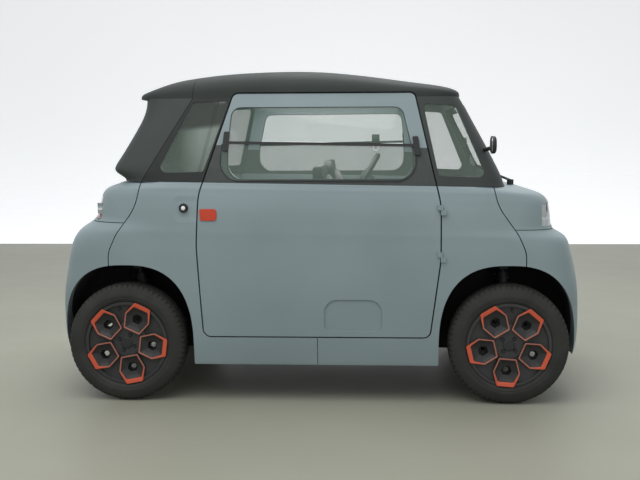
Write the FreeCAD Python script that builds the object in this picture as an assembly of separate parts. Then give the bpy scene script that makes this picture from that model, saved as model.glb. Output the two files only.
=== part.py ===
import FreeCAD, Part
import math
import os

# A two-seat microcar with a rounded, nearly symmetric body, a door on each
# side, a dark upper body and four wheels with hexagonal holes.
# Millimetres. +X is the front, +Y is the car's left, +Z is up. The origin is
# on the ground under the middle of the body.

V = FreeCAD.Vector

# Driving sizes of the whole car
length = 2410.0
width = 1384.0
height = 1520.0
wheelbase = 1740.0
track = 1200.0

# Wall thicknesses and running gaps
wall = 26.0
door_wall = 58.0
frame_wall = 28.0
roof_wall = 22.0
glass = 5.0
glass_recess = 2.0
shut_gap = 6.0
panel_gap = 3.0
seat_gap = 0.3

# Heights of the lower body
sill_bottom = 175.0
bumper_bottom = 208.0
nose_split_z = 808.0
belt_z = 996.0
belt_slope = 0.019
slope_start_z = 640.0

# Upper body
roof_base_z = 1386.0
roof_front_x = 656.0
roof_rib_power = 4.2
corner_gather = 0.12
roof_rear_x = -826.0

# Wheels
tyre_radius = 272.0
tyre_width = 150.0
rim_radius = 184.0
rim_width = 132.0
hub_radius = 62.0
hex_count = 5
hex_ring_radius = 125.0
hex_height = 130.0
hex_width = 122.0
hex_rim = 7.0
hex_outer_rim = 22.0
hex_hole_radius = 24.0
trim_overhang = 8.0
rear_hex_angle = 65.0
front_hex_angle = 49.3

# Wheel arches
arch_half_width = 308.5
arch_top_z = 634.0
arch_base_z = 250.0
arch_inboard_shift = 6.5
arch_power = 2.6

# Steering
kingpin_y = 545.0
steering_wheel_radius = 145.0
steering_wheel_x = 205.0
steering_wheel_y = 300.0
steering_wheel_z = 983.0
column_angle = 30.0

# Doors
door_centre_x = 16.5
hinge_x = 566.0
hinge_radius = 5.0
hinge_height = 22.0
hinge_leaf = 19.0
hinge_heights = [650.0, 860.0]
hinge_room = 0.5
recess_depth = 6.0
flap_thickness = 4.5
bar_thickness = 11.0
bar_half = 7.0
tag_thickness = 4.0
sill_split_x = 10.0
lock_x = -589.0
lock_z = 893.0
lock_radius = 20.0

# Lamps in the nose and tail corners
lamp_inner_y = 400.0
lamp_outer_y = 640.0
lamp_low_z = 822.0
lamp_high_z = 922.0
headlamp_from_x = 1014.0
tail_lamp_from_x = 984.0
lamp_recess = 1.5
lamp_corner = 34.0

# Roof glass
sunroof_rear = 500.0
sunroof_front = 380.0
sunroof_half = 400.0

# Tube frame under the body
tube_size = 42.0
rail_y = 250.0
rail_z = 210.0
bar_x = 1150.0
bar_z = 430.0
bar_half_width = 325.0
panel_bar_x = 1005.0
panel_bar_z = 850.0
scuttle_x = 640.0
scuttle_z = 790.0
outrigger_x = 440.0
eye_y = 285.0
eye_z = 450.0
eye_radius = 8.0
eye_sunk = 22.0
tower_z = 586.0
strut_top_y = 392.0

# Floor tub, shelf and wheel arch liners
tub_wall = 10.0
dash_low_z = 762.0
tub_x = 540.0
shelf_z = 930.0
liner_wall = 5.0
liner_inner_y = 336.0
liner_bottom = 190.0

# Axles
hub_face = 35.5
drum_radius = 98.0
beam_radius = 19.0
post_radius = 18.0
post_half = 90.0
ball_radius = 16.0

# Seats: top edges of the two backs, and the size they share
seat_y = 290.0
seat_width = 430.0
seat_length = 400.0
seat_z = 560.0
seat_lean = 4.0
near_seat_x = 8.0
near_seat_top = 1075.0
far_seat_x = 22.0
far_seat_top = 1087.0
seat_corner = 46.0
pad_inset = 24.0
pad_thickness = 46.0
back_pad_thickness = 36.0

# Mirrors and wiper
mirror_x = 782.0
mirror_y = 742.0
mirror_z = 1168.0
mirror_depth = 18.0
mirror_half_width = 54.0
mirror_half_height = 38.0
wiper_x = 925.0
wiper_y = -200.0
wiper_z = 994.0

half_length = length / 2
half_width = width / 2
axle_x = wheelbase / 2
wheel_y = track / 2
axle_z = tyre_radius
hinge_y = half_width + hinge_radius - 1.0
floor_z = rail_z + tube_size + seat_gap
lock_x_left = 2 * door_centre_x - lock_x
hinge_x_left = 2 * door_centre_x - hinge_x

# Each level of the lower body is its height, how far the nose, the tail and
# the sides stand in from the full size, and how square the corners are.
body_levels = [
    (172, 62, 66, 34, 10.0),
    (208, 18, 24, 26, 10.0),
    (245, 7, 14, 20, 10.0),
    (300, 1, 6, 13, 10.0),
    (370, 0, 3, 8, 10.0),
    (430, 1, 3, 4, 10.0),
    (500, 4, 7, 1, 10.0),
    (560, 11, 16, 0, 10.0),
    (620, 22, 27, 0, 10.0),
    (670, 32, 36, 0, 10.0),
    (712, 42, 49, 1, 10.0),
    (745, 51, 66, 2, 9.8),
    (772, 67, 89, 2, 9.2),
    (790, 94, 114, 3, 8.6),
    (808, 114, 142, 4, 8.2),
    (830, 120, 158, 5, 8.0),
    (860, 122, 167, 7, 8.0),
    (890, 126, 175, 10, 8.0),
    (915, 131, 182, 14, 8.1),
    (935, 140, 191, 17, 8.2),
    (950, 152, 202, 20, 8.3),
    (962, 169, 218, 22, 8.4),
    (972, 196, 242, 24, 8.5),
    (981, 236, 268, 27, 8.6),
    (989, 280, 294, 29, 8.7),
    (996, 326, 318, 31, 8.8),
]

# Each level of the upper body: its height, the windscreen's and the rear
# window's distance from the middle, the side's inset and the corner power.
cabin_levels = [
    (975, 872, 868, 34, 12.0),
    (1000, 862, 892, 38, 12.0),
    (1022, 854, 920, 42, 12.0),
    (1044, 846, 944, 46, 12.0),
    (1066, 834, 940, 50, 12.0),
    (1100, 817, 919, 57, 12.0),
    (1160, 786, 882, 69, 12.0),
    (1220, 754, 847, 81, 12.0),
    (1280, 721, 816, 94, 12.0),
    (1340, 689, 799, 107, 12.0),
    (1390, 661, 800, 118, 12.0),
    (1440, 632, 804, 130, 12.0),
]

# Stations of the roof: distance along the car and how far
# its crown lies below the full height.
roof_stations = [
    (-826, 111),
    (-792, 92),
    (-735, 71),
    (-660, 46),
    (-566, 28),
    (-430, 12),
    (-250, 2),
    (-90, 0),
    (60, 7),
    (200, 22),
    (330, 40),
    (450, 58),
    (555, 73),
    (620, 87),
    (656, 109),
]


def point(x, y, z):
    return V(float(x), float(y), float(z))


def tilted(z, x):
    """Height of a level at x: the upper levels fall a little to the front."""
    share = (z - slope_start_z) / (nose_split_z - slope_start_z)
    share = max(0.0, min(1.0, share))
    return z - belt_slope * share * x


def superellipse_radius(angle, power):
    c = abs(math.cos(angle))
    s = abs(math.sin(angle))
    return 1.0 / (c ** power + s ** power) ** (1.0 / power)


def level_row(z, nose, tail, side, power, mirror):
    """Half of one level of the body, from the nose round to the tail."""
    row = []
    steps = 40
    for i in range(steps + 1):
        angle = math.pi * i / steps
        angle += corner_gather * math.sin(4 * angle)
        r = superellipse_radius(angle, power)
        reach = nose if math.cos(angle) >= 0 else tail
        x = reach * r * math.cos(angle)
        y = side * r * math.sin(angle)
        row.append(point(x, -y if mirror else y, tilted(z, x)))
    return row


def skin(rows):
    surface = Part.BSplineSurface()
    surface.interpolate(rows)
    return surface.toShape()


def lidded(faces):
    """Closes a tube of two half skins with flat lids at its ends."""
    ends = []
    for k in (0, 1):
        edges = []
        for face in faces:
            box_edges = sorted(face.Edges, key=lambda e: e.CenterOfMass.z)
            edges.append(box_edges[0] if k == 0 else box_edges[-1])
        ends.append(Part.Face(Part.Wire(Part.__sortEdges__(edges))))
    shell = Part.makeShell(faces + ends)
    shell.sewShape()
    solid = Part.Solid(shell)
    if solid.Volume < 0:
        solid.reverse()
    return solid


def hull(levels, inset=0.0, drop=0.0):
    """The body's outer form, or the same form moved in by inset."""
    faces = []
    for mirror in (False, True):
        rows = [level_row(z - drop, nose - inset, tail - inset, side - inset, power, mirror)
                for z, nose, tail, side, power in levels]
        faces.append(skin(rows))
    return lidded(faces)


def body_form(inset=0.0, drop=0.0):
    levels = [(z, half_length - nose, half_length - tail, half_width - side, power)
              for z, nose, tail, side, power in body_levels]
    return hull(levels, inset, drop)


def cabin_form(inset=0.0):
    levels = [(z, nose, tail, half_width - side, power)
              for z, nose, tail, side, power in cabin_levels]
    return hull(levels, inset)


def roof_form(inset=0.0):
    """The domed roof: arched ribs across the car, joined along it."""
    centre = (roof_front_x + roof_rear_x) / 2
    reach = (roof_front_x - roof_rear_x) / 2
    rib_half = half_width - 115.0 - inset
    rows = []
    steps = 24
    for x, drop in roof_stations:
        crown = height - drop
        u = (x - centre) / (reach + 12.0)
        w = rib_half * (1.0 - abs(u) ** 8) ** (1.0 / 8)
        xi = centre + (x - centre) * (reach - inset) / reach
        row = []
        for i in range(steps + 1):
            a = math.pi * i / steps
            a += corner_gather * math.sin(4 * a)
            r = superellipse_radius(a, roof_rib_power)
            rise = r * math.sin(a)
            row.append(point(xi, w * r * math.cos(a), roof_base_z + (crown - inset - roof_base_z) * rise))
        rows.append(row)
    top = skin(rows)
    by_x = sorted(top.Edges, key=lambda e: e.CenterOfMass.x)
    by_y = sorted(top.Edges, key=lambda e: e.CenterOfMass.y)
    ends = []
    chords = []
    for edge in (by_x[0], by_x[-1]):
        chord = Part.makeLine(edge.Vertexes[0].Point, edge.Vertexes[-1].Point)
        chords.append(chord)
        ends.append(Part.Face(Part.Wire([edge, chord])))
    loop = Part.__sortEdges__([by_y[0], by_y[-1]] + chords)
    bottom = Part.Face(Part.Wire(loop))
    shell = Part.makeShell([top, bottom] + ends)
    shell.sewShape()
    solid = Part.Solid(shell)
    if solid.Volume < 0:
        solid.reverse()
    return solid


def rounded_outline(corners, plane):
    """A closed outline with each corner rounded by its own radius.

    corners are (a, b, radius); plane turns a and b into a point."""
    count = len(corners)
    edges = []
    starts = []
    ends = []
    for i in range(count):
        a, b, radius = corners[i]
        here = plane(a, b)
        before = plane(corners[i - 1][0], corners[i - 1][1])
        after = plane(corners[(i + 1) % count][0], corners[(i + 1) % count][1])
        to_before = (before - here).normalize()
        to_after = (after - here).normalize()
        if radius <= 0:
            starts.append(here)
            ends.append(here)
            edges.append(None)
            continue
        half = to_before.getAngle(to_after) / 2
        back = radius / math.tan(half)
        start = here + to_before * back
        end = here + to_after * back
        middle = here + (to_before + to_after).normalize() * (radius / math.sin(half) - radius)
        starts.append(start)
        ends.append(end)
        edges.append(Part.Arc(start, middle, end).toShape())
    loop = []
    for i in range(count):
        if edges[i] is not None:
            loop.append(edges[i])
        here = ends[i]
        there = starts[(i + 1) % count]
        if (there - here).Length > 1e-4:
            loop.append(Part.makeLine(here, there))
    return Part.Wire(loop)


def side_plane(y):
    return lambda a, b: point(a, y, b)


def front_plane(x):
    return lambda a, b: point(x, a, b)


def plan_plane(z):
    return lambda a, b: point(a, b, z)


def side_prism(corners, y_from, y_to):
    """A block whose outline is given in the side view."""
    wire = rounded_outline(corners, side_plane(y_from))
    return Part.Face(wire).extrude(point(0, y_to - y_from, 0))


def front_prism(corners, x_from, x_to):
    wire = rounded_outline(corners, front_plane(x_from))
    return Part.Face(wire).extrude(point(x_to - x_from, 0, 0))


def plan_prism(corners, z_from, z_to):
    wire = rounded_outline(corners, plan_plane(z_from))
    return Part.Face(wire).extrude(point(0, 0, z_to - z_from))


def box(x0, x1, y0, y1, z0, z1):
    return Part.makeBox(x1 - x0, y1 - y0, z1 - z0, point(x0, y0, z0))


def rod(start, end, radius):
    along = end - start
    return Part.makeCylinder(radius, along.Length, start, along)


def tube_path(points, radius):
    """Straight tubes from point to point with a ball at each bend."""
    parts = [rod(a, b, radius) for a, b in zip(points, points[1:])]
    parts += [Part.makeSphere(radius, p) for p in points[1:-1]]
    return parts[0].multiFuse(parts[1:]).removeSplitter()


def fused(parts):
    if len(parts) == 1:
        return parts[0]
    return parts[0].multiFuse(parts[1:])


def mirrored(shape):
    return shape.mirror(point(0, 0, 0), point(0, 1, 0))


def turned_over(shape):
    """The shape turned half a turn about the door's own centre."""
    copy = shape.copy()
    copy.rotate(point(door_centre_x, 0, 0), point(0, 0, 1), 180)
    return copy


def on_both_sides(shape):
    return [shape, mirrored(shape)]


# Outline of the right door in the side view: (x, z, corner radius)
door_outline = [
    (-505, 309, 34),
    (513, 309, 30),
    (560, 660, 420),
    (560, 905, 330),
    (445, 1402, 26),
    (-370, 1404, 30),
    (-521, 950, 260),
    (-531, 720, 500),
]

# Opening of the door's window, and of the flap that covers its lower half
window_outline = [
    (-378, 1343, 46),
    (-396, 1170, 300),
    (-392, 1017, 80),
    (440, 1017, 80),
    (440, 1140, 240),
    (392, 1341, 46),
]
flap_outline = [
    (-422, 1185, 12),
    (-436, 1012, 92),
    (462, 1006, 92),
    (452, 1168, 12),
]
flap_split_z = 1177.0

recess_outline = [
    (41, 336, 26),
    (302, 336, 26),
    (302, 479, 60),
    (41, 479, 60),
]
bar_outline = [
    (-402, 1178, 2),
    (462, 1161, 2),
    (462, 1174, 2),
    (-402, 1191, 2),
]
bracket_outlines = [
    [(-420, 1147, 6), (-390, 1147, 6), (-383, 1234, 6), (-410, 1234, 6)],
    [(446, 1124, 6), (474, 1124, 6), (462, 1208, 6), (436, 1208, 6)],
]
tag_outline = [
    (-514, 836, 8),
    (-440, 836, 14),
    (-440, 888, 14),
    (-518, 888, 8),
]
screen_outline = [
    (-520, 1030, 60),
    (520, 1030, 60),
    (462, 1352, 50),
    (-462, 1352, 50),
]
rear_window_outline = [
    (-500, 1075, 50),
    (500, 1075, 50),
    (452, 1330, 44),
    (-452, 1330, 44),
]

# Side windows behind and ahead of the door, on the right and on the left
quarter_outlines = {
    -1: [
        [(-720, 1050, 30), (-505, 1053, 16), (-390, 1372, 16), (-556, 1368, 24)],
        [(553, 1032, 14), (768, 1022, 26), (632, 1345, 24), (484, 1356, 16)],
    ],
    1: [
        [(-720, 1050, 30), (-520, 1053, 16), (-440, 1372, 16), (-556, 1368, 24)],
        [(553, 1032, 14), (768, 1022, 26), (632, 1345, 24), (456, 1356, 16)],
    ],
}

# Line where the side panels meet the bumpers and the nose, in the front half
split_line = [
    (940, 560, 0),
    (940, 690, 120),
    (905, 770, 200),
    (815, 895, 220),
    (785, 1040, 0),
]


def grown(corners, amount):
    """The same outline moved outwards by amount, corner by corner."""
    count = len(corners)
    result = []
    area = sum(corners[i][0] * corners[(i + 1) % count][1] - corners[(i + 1) % count][0] * corners[i][1]
               for i in range(count))
    turn = 1.0 if area > 0 else -1.0
    for i in range(count):
        a, b, radius = corners[i]
        pa, pb, _ = corners[i - 1]
        na, nb, _ = corners[(i + 1) % count]
        d1 = V(a - pa, b - pb, 0).normalize()
        d2 = V(na - a, nb - b, 0).normalize()
        n1 = V(d1.y, -d1.x, 0) * turn
        n2 = V(d2.y, -d2.x, 0) * turn
        bisector = (n1 + n2).normalize()
        step = amount / bisector.dot(n1)
        result.append((a + bisector.x * step, b + bisector.y * step, max(radius + amount, 0.5) if radius else 0))
    return result


def arch_prism(side_sign, extra=0.0, y_from=None, y_to=None):
    """The opening over one wheel: a squared half ellipse on straight legs."""
    direction = side_sign
    centre = direction * (axle_x - arch_inboard_shift)
    half = arch_half_width + extra
    top = arch_top_z + extra
    points = []
    steps = 18
    for i in range(steps + 1):
        a = math.pi * i / steps
        r = superellipse_radius(a, arch_power)
        points.append(point(centre + half * r * math.cos(a), y_from,
                            arch_base_z + (top - arch_base_z) * r * math.sin(a)))
    crown = Part.BSplineCurve()
    crown.interpolate(points)
    foot_z = 60.0
    left = point(centre - half, y_from, foot_z)
    right = point(centre + half, y_from, foot_z)
    wire = Part.Wire([crown.toShape(), Part.makeLine(points[-1], left), Part.makeLine(left, right),
                      Part.makeLine(right, points[0])])
    return Part.Face(wire).extrude(point(0, y_to - y_from, 0))


def end_region(side_sign, z_low, z_high, shift):
    """Everything ahead of the split line, between two tilted levels."""
    far = half_length + 100.0
    corners = [(x + shift, z, r) for x, z, r in split_line]
    corners = [(x * side_sign, z, r) for x, z, r in corners]
    foot_x = (split_line[0][0] + shift) * side_sign
    outline = [(far * side_sign, 1040, 0), (far * side_sign, 100, 0), (foot_x, 100, 0)] + corners
    region = side_prism(outline, -half_width - 60, half_width + 60)
    big = 2000.0
    cut = [(-big, tilted(z_low, -big), 0), (big, tilted(z_low, big), 0),
           (big, tilted(z_high, big), 0), (-big, tilted(z_high, -big), 0)]
    return region.common(side_prism(cut, -half_width - 60, half_width + 60))


def side_region(side_sign, x_limit):
    """The side between the middle of the sill and the split line."""
    corners = [((x - panel_gap) * side_sign, z, r) for x, z, r in split_line]
    outline = [(x_limit, 100, 0)] + [((940 - panel_gap) * side_sign, 100, 0)] + corners + [(x_limit, 1040, 0)]
    return side_prism(outline, -half_width - 60, -half_width + 330)


def save(name, shape):
    if isinstance(shape, list):
        shape = Part.makeCompound(shape)
    shape.exportStep("parts/" + name + ".step")


def build_forms():
    """The few outer and inner forms that every panel is cut from."""
    forms = {}
    forms["body"] = body_form()
    forms["body_wall"] = forms["body"].cut(body_form(wall))
    forms["nose_wall"] = forms["body"].cut(body_form(wall, wall))
    forms["door_wall"] = forms["body"].cut(body_form(door_wall))
    forms["carried"] = body_form(wall + seat_gap)
    forms["carried_low"] = body_form(wall + seat_gap, wall + seat_gap)
    forms["inside_doors"] = body_form(door_wall + shut_gap)
    forms["cabin"] = cabin_form()
    forms["cabin_wall"] = forms["cabin"].cut(cabin_form(frame_wall))
    forms["glass_wall"] = cabin_form(glass_recess).cut(cabin_form(glass_recess + glass))
    forms["lamp_wall"] = body_form(lamp_recess).cut(body_form(wall - 2.0))
    forms["tag_wall"] = body_form(-tag_thickness).cut(body_form(-seat_gap))
    forms["flap_wall"] = cabin_form(-flap_thickness).cut(cabin_form(-seat_gap))
    forms["bar_wall"] = cabin_form(-bar_thickness).cut(cabin_form(-flap_thickness - seat_gap))
    return forms


def side_cut(corners):
    """A block through the car's right side, with its outline in side view."""
    return side_prism(corners, -half_width - 100, -half_width + 330)


def across_cut(corners):
    """The same through both sides."""
    return side_prism(corners, -half_width - 100, half_width + 100)


def level_band(z_low, z_high):
    """The space between two levels that fall to the front with the belt."""
    far = 2000.0
    corners = [(-far, tilted(z_low, -far), 0), (far, tilted(z_low, far), 0),
               (far, tilted(z_high, far), 0), (-far, tilted(z_high, -far), 0)]
    return across_cut(corners)


def hinge_barrels(x, side, heights, inward):
    """Hinge barrels on the door's axis, each with a leaf that reaches its panel.

    inward is the direction along X from the axis to the panel that carries them."""
    parts = []
    y = side * hinge_y
    for z in heights:
        barrel = Part.makeCylinder(hinge_radius, hinge_height, point(x, y, z))
        x_far = x + inward * hinge_leaf
        leaf = box(min(x, x_far), max(x, x_far), min(y - 3, y + 3), max(y - 3, y + 3), z, z + hinge_height)
        foot_y = sorted((y, y - side * (hinge_radius + 12)))
        foot_x = sorted((x + inward * (hinge_radius + 7), x_far))
        foot = box(foot_x[0], foot_x[1], foot_y[0], foot_y[1], z, z + hinge_height)
        parts += [barrel, leaf, foot]
    return parts


def barrel_room(x, side):
    """Room in the side panel for the door's hinge barrels."""
    tall = hinge_height + 2 * seat_gap
    return fused([Part.makeCylinder(hinge_radius + hinge_room, tall, point(x, side * hinge_y, z + hinge_height))
                  for z in hinge_heights])


def make_side_panels(forms):
    """Wings and sill halves, front and rear, on both sides."""
    door_cut = side_cut(grown(door_outline, shut_gap))
    left_door_cut = turned_over(door_cut)
    band = level_band(sill_bottom - 200, belt_z)
    below = box(-1500, 1500, -1000, 1000, 0, sill_bottom)
    result = {}
    for end, sign in (("front", 1), ("rear", -1)):
        limit = sill_split_x + sign * panel_gap / 2
        region = side_region(sign, limit)
        arch = arch_prism(sign, 0.0, -half_width - 100, -half_width + 330)
        wing = forms["body_wall"].common(region).common(band).cut(arch).cut(below)
        right = wing.cut(door_cut)
        left = mirrored(wing).cut(left_door_cut)
        if end == "front":
            right = right.cut(barrel_room(hinge_x, -1))
            right = fused([right] + hinge_barrels(hinge_x, -1, hinge_heights, 1))
            left = left.cut(lock_barrel(lock_x_left, 1, lock_radius + seat_gap, 60))
        else:
            left = left.cut(barrel_room(hinge_x_left, 1))
            left = fused([left] + hinge_barrels(hinge_x_left, 1, hinge_heights, -1))
            right = right.cut(lock_barrel(lock_x, -1, lock_radius + seat_gap, 60))
        result["side_panel_" + end + "_right"] = right
        result["side_panel_" + end + "_left"] = left
    return result


def lock_barrel(x, side, radius, depth):
    """The lock's cylinder, in from the skin of the side panel."""
    start = point(x, side * (half_width + 1), lock_z)
    return Part.makeCylinder(radius, depth, start, point(0, -side, 0))


def make_locks():
    pieces = []
    for x, side in ((lock_x, -1), (lock_x_left, 1)):
        ring = lock_barrel(x, side, lock_radius, 30)
        dish = Part.makeCone(lock_radius - 3, lock_radius - 8, 4, point(x, side * (half_width + 1), lock_z),
                             point(0, -side, 0))
        slot = box(x - 1.5, x + 1.5, side * (half_width - 8) - 8, side * (half_width - 8) + 8, lock_z - 7, lock_z + 7)
        pieces.append(ring.cut(dish).cut(slot))
    return {"door_locks": pieces}


def make_ends(forms):
    """Bumpers, nose panel and tail panel, with the lamps let into them."""
    result = {}
    for bumper, panel, lamps, sign, lamp_from_x in (
            ("front_bumper", "nose_panel", "headlamps", 1, headlamp_from_x),
            ("rear_bumper", "tail_panel", "tail_lamps", -1, tail_lamp_from_x)):
        low = end_region(sign, bumper_bottom, nose_split_z - panel_gap / 2, panel_gap / 2)
        high = end_region(sign, nose_split_z + panel_gap / 2, belt_z + 10, panel_gap / 2)
        arch = arch_prism(sign, 0.0, -half_width - 100, half_width + 100)
        eye = rod(point(sign * (half_length - 200), sign * eye_y, eye_z),
                  point(sign * (half_length + 50), sign * eye_y, eye_z), eye_radius + 8)
        result[bumper] = forms["body_wall"].common(low).cut(arch).cut(eye)
        shell = forms["nose_wall"].common(high)
        lenses = []
        for side in (-1, 1):
            low_z = tilted(lamp_low_z, sign * lamp_from_x)
            high_z = tilted(lamp_high_z, sign * lamp_from_x)
            outline = [(side * lamp_inner_y, low_z, lamp_corner), (side * lamp_outer_y, low_z, lamp_corner),
                       (side * lamp_outer_y, high_z, lamp_corner), (side * lamp_inner_y, high_z, lamp_corner)]
            near, far = sorted((sign * lamp_from_x, sign * (half_length + 20)))
            shell = shell.cut(front_prism(outline, near, far))
            fit = grown(outline, -seat_gap)
            lenses.append(forms["lamp_wall"].common(front_prism(fit, near, far)))
        result[panel] = shell
        result[lamps] = lenses
    return result


def make_wheel(name, hex_angle, x, side):
    """One wheel at its place; side is -1 on the car's right."""
    centre = point(x, side * wheel_y, axle_z)
    half = tyre_width / 2
    rim_half = rim_width / 2
    lip = 6.0
    bead_half = rim_half - lip - seat_gap
    shoulder = half - 30.0
    profile = [
        (-bead_half, rim_radius), (-half + 2, rim_radius + 18), (-half, tyre_radius - 42),
        (-half + 7, tyre_radius - 13), (-shoulder, tyre_radius),
    ]
    profile += [(-a, r) for a, r in reversed(profile)]
    ring = Part.makePolygon([point(0, a, r) for a, r in profile] + [point(0, profile[0][0], profile[0][1])])
    tyre = Part.Face(ring).revolve(point(0, 0, 0), point(0, 1, 0), 360)
    tyre = Part.Solid(tyre) if tyre.ShapeType != "Solid" else tyre
    outer = rim_radius - seat_gap
    barrel_wall = 7.0
    face_y = rim_half - 14.0
    barrel = [
        (-rim_half, outer + lip), (-rim_half + lip, outer), (rim_half - lip, outer), (rim_half, outer + lip),
        (rim_half, outer - barrel_wall),
        (face_y, outer - barrel_wall - 2), (face_y - 6, 92), (face_y + 4, hub_radius), (face_y + 4, 0),
        (face_y - 16, 0), (face_y - 16, hub_radius - 10), (face_y - 26, 96), (face_y - 20, outer - barrel_wall - 6),
        (-rim_half, outer - barrel_wall),
    ]
    outline = Part.makePolygon([point(0, a, r) for a, r in barrel] + [point(0, barrel[0][0], barrel[0][1])])
    rim = Part.Face(outline).revolve(point(0, 0, 0), point(0, 1, 0), 360)
    trims = []
    for i in range(hex_count):
        angle = math.radians(hex_angle + 360.0 * i / hex_count)
        boss, trim, well = hexagon(angle, face_y)
        rim = rim.fuse(boss).cut(well)
        trims.append(trim)
    bolt_face = face_y + 4
    for i in range(4):
        a = math.radians(hex_angle + 90.0 * i)
        seat = rod(point(38 * math.cos(a), bolt_face - 5, 38 * math.sin(a)),
                   point(38 * math.cos(a), bolt_face + 5, 38 * math.sin(a)), 9)
        rim = rim.cut(seat)
    pieces = []
    for shape in (tyre, rim, Part.makeCompound(trims)):
        copy = shape.copy()
        if side < 0:
            copy = copy.mirror(point(0, 0, 0), point(0, 1, 0))
        copy.translate(centre)
        pieces.append(copy)
    return {name + "_tyre": pieces[0], name + "_rim": pieces[1], name + "_trim": pieces[2]}


def hex_wire(angle, inward, outward, across, y):
    """A hexagon with a flat towards the rim, in the wheel's face."""
    c = V(math.cos(angle), 0, math.sin(angle))
    t = V(-math.sin(angle), 0, math.cos(angle))
    centre = c * hex_ring_radius + V(0, y, 0)
    flat = across * 0.32
    points = [c * outward + t * flat, c * outward + t * -flat, t * (-across / 2), c * -inward + t * -flat,
              c * -inward + t * flat, t * (across / 2)]
    points = [centre + p for p in points]
    return Part.makePolygon(points + [points[0]])


def hexagon(angle, face_y):
    """Boss, coloured trim ring and well of one hexagonal hole."""
    front = rim_width / 2
    back = face_y - 12.0
    reach = hex_height / 2
    boss = Part.Face(hex_wire(angle, reach, reach, hex_width, back)).extrude(V(0, front - back, 0))
    boss = boss.common(Part.makeCylinder(rim_radius - 4, tyre_width, V(0, 0, 0), V(0, 1, 0)))
    ring = Part.Face(hex_wire(angle, reach, reach, hex_width, front + seat_gap)).extrude(V(0, 5.0, 0))
    opening = (reach - hex_rim, reach - hex_outer_rim, hex_width - 2 * hex_rim)
    hole = Part.Face(hex_wire(angle, *opening, front - 1)).extrude(V(0, 9, 0))
    within = Part.makeCylinder(rim_radius + trim_overhang, tyre_width, V(0, 0, 0), V(0, 1, 0))
    trim = ring.cut(hole).common(within)
    c = V(math.cos(angle), 0, math.sin(angle)) * (hex_ring_radius - (hex_outer_rim - hex_rim) / 2)
    throat = Part.Face(hex_wire(angle, *opening, front - 15.0)).extrude(V(0, 30, 0))
    bore = Part.makeCylinder(hex_hole_radius, 70, c + V(0, front - 72, 0), V(0, 1, 0))
    return boss, trim, throat.fuse(bore)


def split_outline(shift, limit_z):
    """All that lies on one side of the line between pane and flap."""
    far = 900.0
    line = [(x, flap_split_z + shift - belt_slope * x, 0) for x in (-far, far)]
    return line + [(far, limit_z, 0), (-far, limit_z, 0)]


def make_doors(forms):
    """The right door, and the left door as the same outlines turned over."""
    high_band = level_band(belt_z - 1, roof_base_z + 200)
    upper = forms["cabin_wall"].common(high_band)
    dent_wall = forms["body"].cut(body_form(recess_depth))
    split_low = across_cut(split_outline(-bar_half, 0.0))
    split_high = across_cut(split_outline(bar_half, height))
    result = {}
    for side, sign, turn in (("right", -1, lambda s: s), ("left", 1, turned_over)):
        region = turn(side_cut(door_outline))
        low = forms["door_wall"].common(region)
        high = upper.common(region)
        shell = low.fuse(high).cut(turn(side_cut(window_outline)))
        shell = shell.cut(dent_wall.common(turn(side_cut(recess_outline))))
        heights = [z + hinge_height + seat_gap for z in hinge_heights]
        x_axis = hinge_x if side == "right" else hinge_x_left
        shell = fused([shell] + hinge_barrels(x_axis, sign, heights, sign))
        pane = forms["glass_wall"].common(turn(side_cut(grown(window_outline, -seat_gap))))
        flap = forms["flap_wall"].common(turn(side_cut(flap_outline))).common(split_low)
        bar = forms["bar_wall"].common(turn(side_cut(bar_outline)))
        brackets = [forms["bar_wall"].common(turn(side_cut(outline))) for outline in bracket_outlines]
        tag = forms["tag_wall"].common(turn(side_cut(tag_outline)))
        result["door_" + side] = shell
        result["door_glass_" + side] = [pane.common(split_high), flap]
        result["door_bar_" + side] = fused([bar] + brackets)
        result["door_tag_" + side] = tag
    return result


def make_cabin(forms):
    """Dark frames and the fixed glass of the upper body."""
    door_cut = side_cut(grown(door_outline, shut_gap))
    band = level_band(belt_z + seat_gap, roof_base_z + 200)
    shell = forms["cabin_wall"].common(band).common(box(-1500, 1500, -1000, 1000, 0, roof_base_z - seat_gap))
    shell = shell.cut(door_cut).cut(turned_over(door_cut))
    panes = {}
    for name, outline, x0, x1 in (("windscreen", screen_outline, 500, 1300),
                                  ("rear_window", rear_window_outline, -1300, -600)):
        shell = shell.cut(front_prism(outline, x0, x1))
        panes[name] = forms["glass_wall"].common(front_prism(grown(outline, -seat_gap), x0, x1))
    quarters = []
    for side, outlines in quarter_outlines.items():
        for outline in outlines:
            cut = side_cut(outline)
            fit = side_cut(grown(outline, -seat_gap))
            shell = shell.cut(cut if side < 0 else mirrored(cut))
            quarters.append(forms["glass_wall"].common(fit if side < 0 else mirrored(fit)))
    result = dict(panes)
    result["windscreen_frame"] = shell.common(box(0, 1500, -1000, 1000, 900, 1500))
    result["rear_frame"] = shell.common(box(-1500, 0, -1000, 1000, 900, 1500))
    result["quarter_glass"] = quarters
    return result


def make_roof():
    """The domed roof with its long glass pane."""
    door_cut = side_prism(grown(door_outline, shut_gap), -half_width - 100, -half_width + 260)
    outer = roof_form()
    opening = [(-sunroof_rear, -sunroof_half, 70), (sunroof_front, -sunroof_half, 70),
               (sunroof_front, sunroof_half, 70), (-sunroof_rear, sunroof_half, 70)]
    panel = outer.cut(roof_form(roof_wall)).cut(plan_prism(opening, 1300, 1600))
    panel = panel.cut(door_cut).cut(turned_over(door_cut))
    pane = plan_prism(grown(opening, -seat_gap), 1300, 1600)
    roof_pane = roof_form(glass_recess).cut(roof_form(glass_recess + glass)).common(pane)
    return {"roof_panel": panel, "roof_glass": roof_pane}


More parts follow.
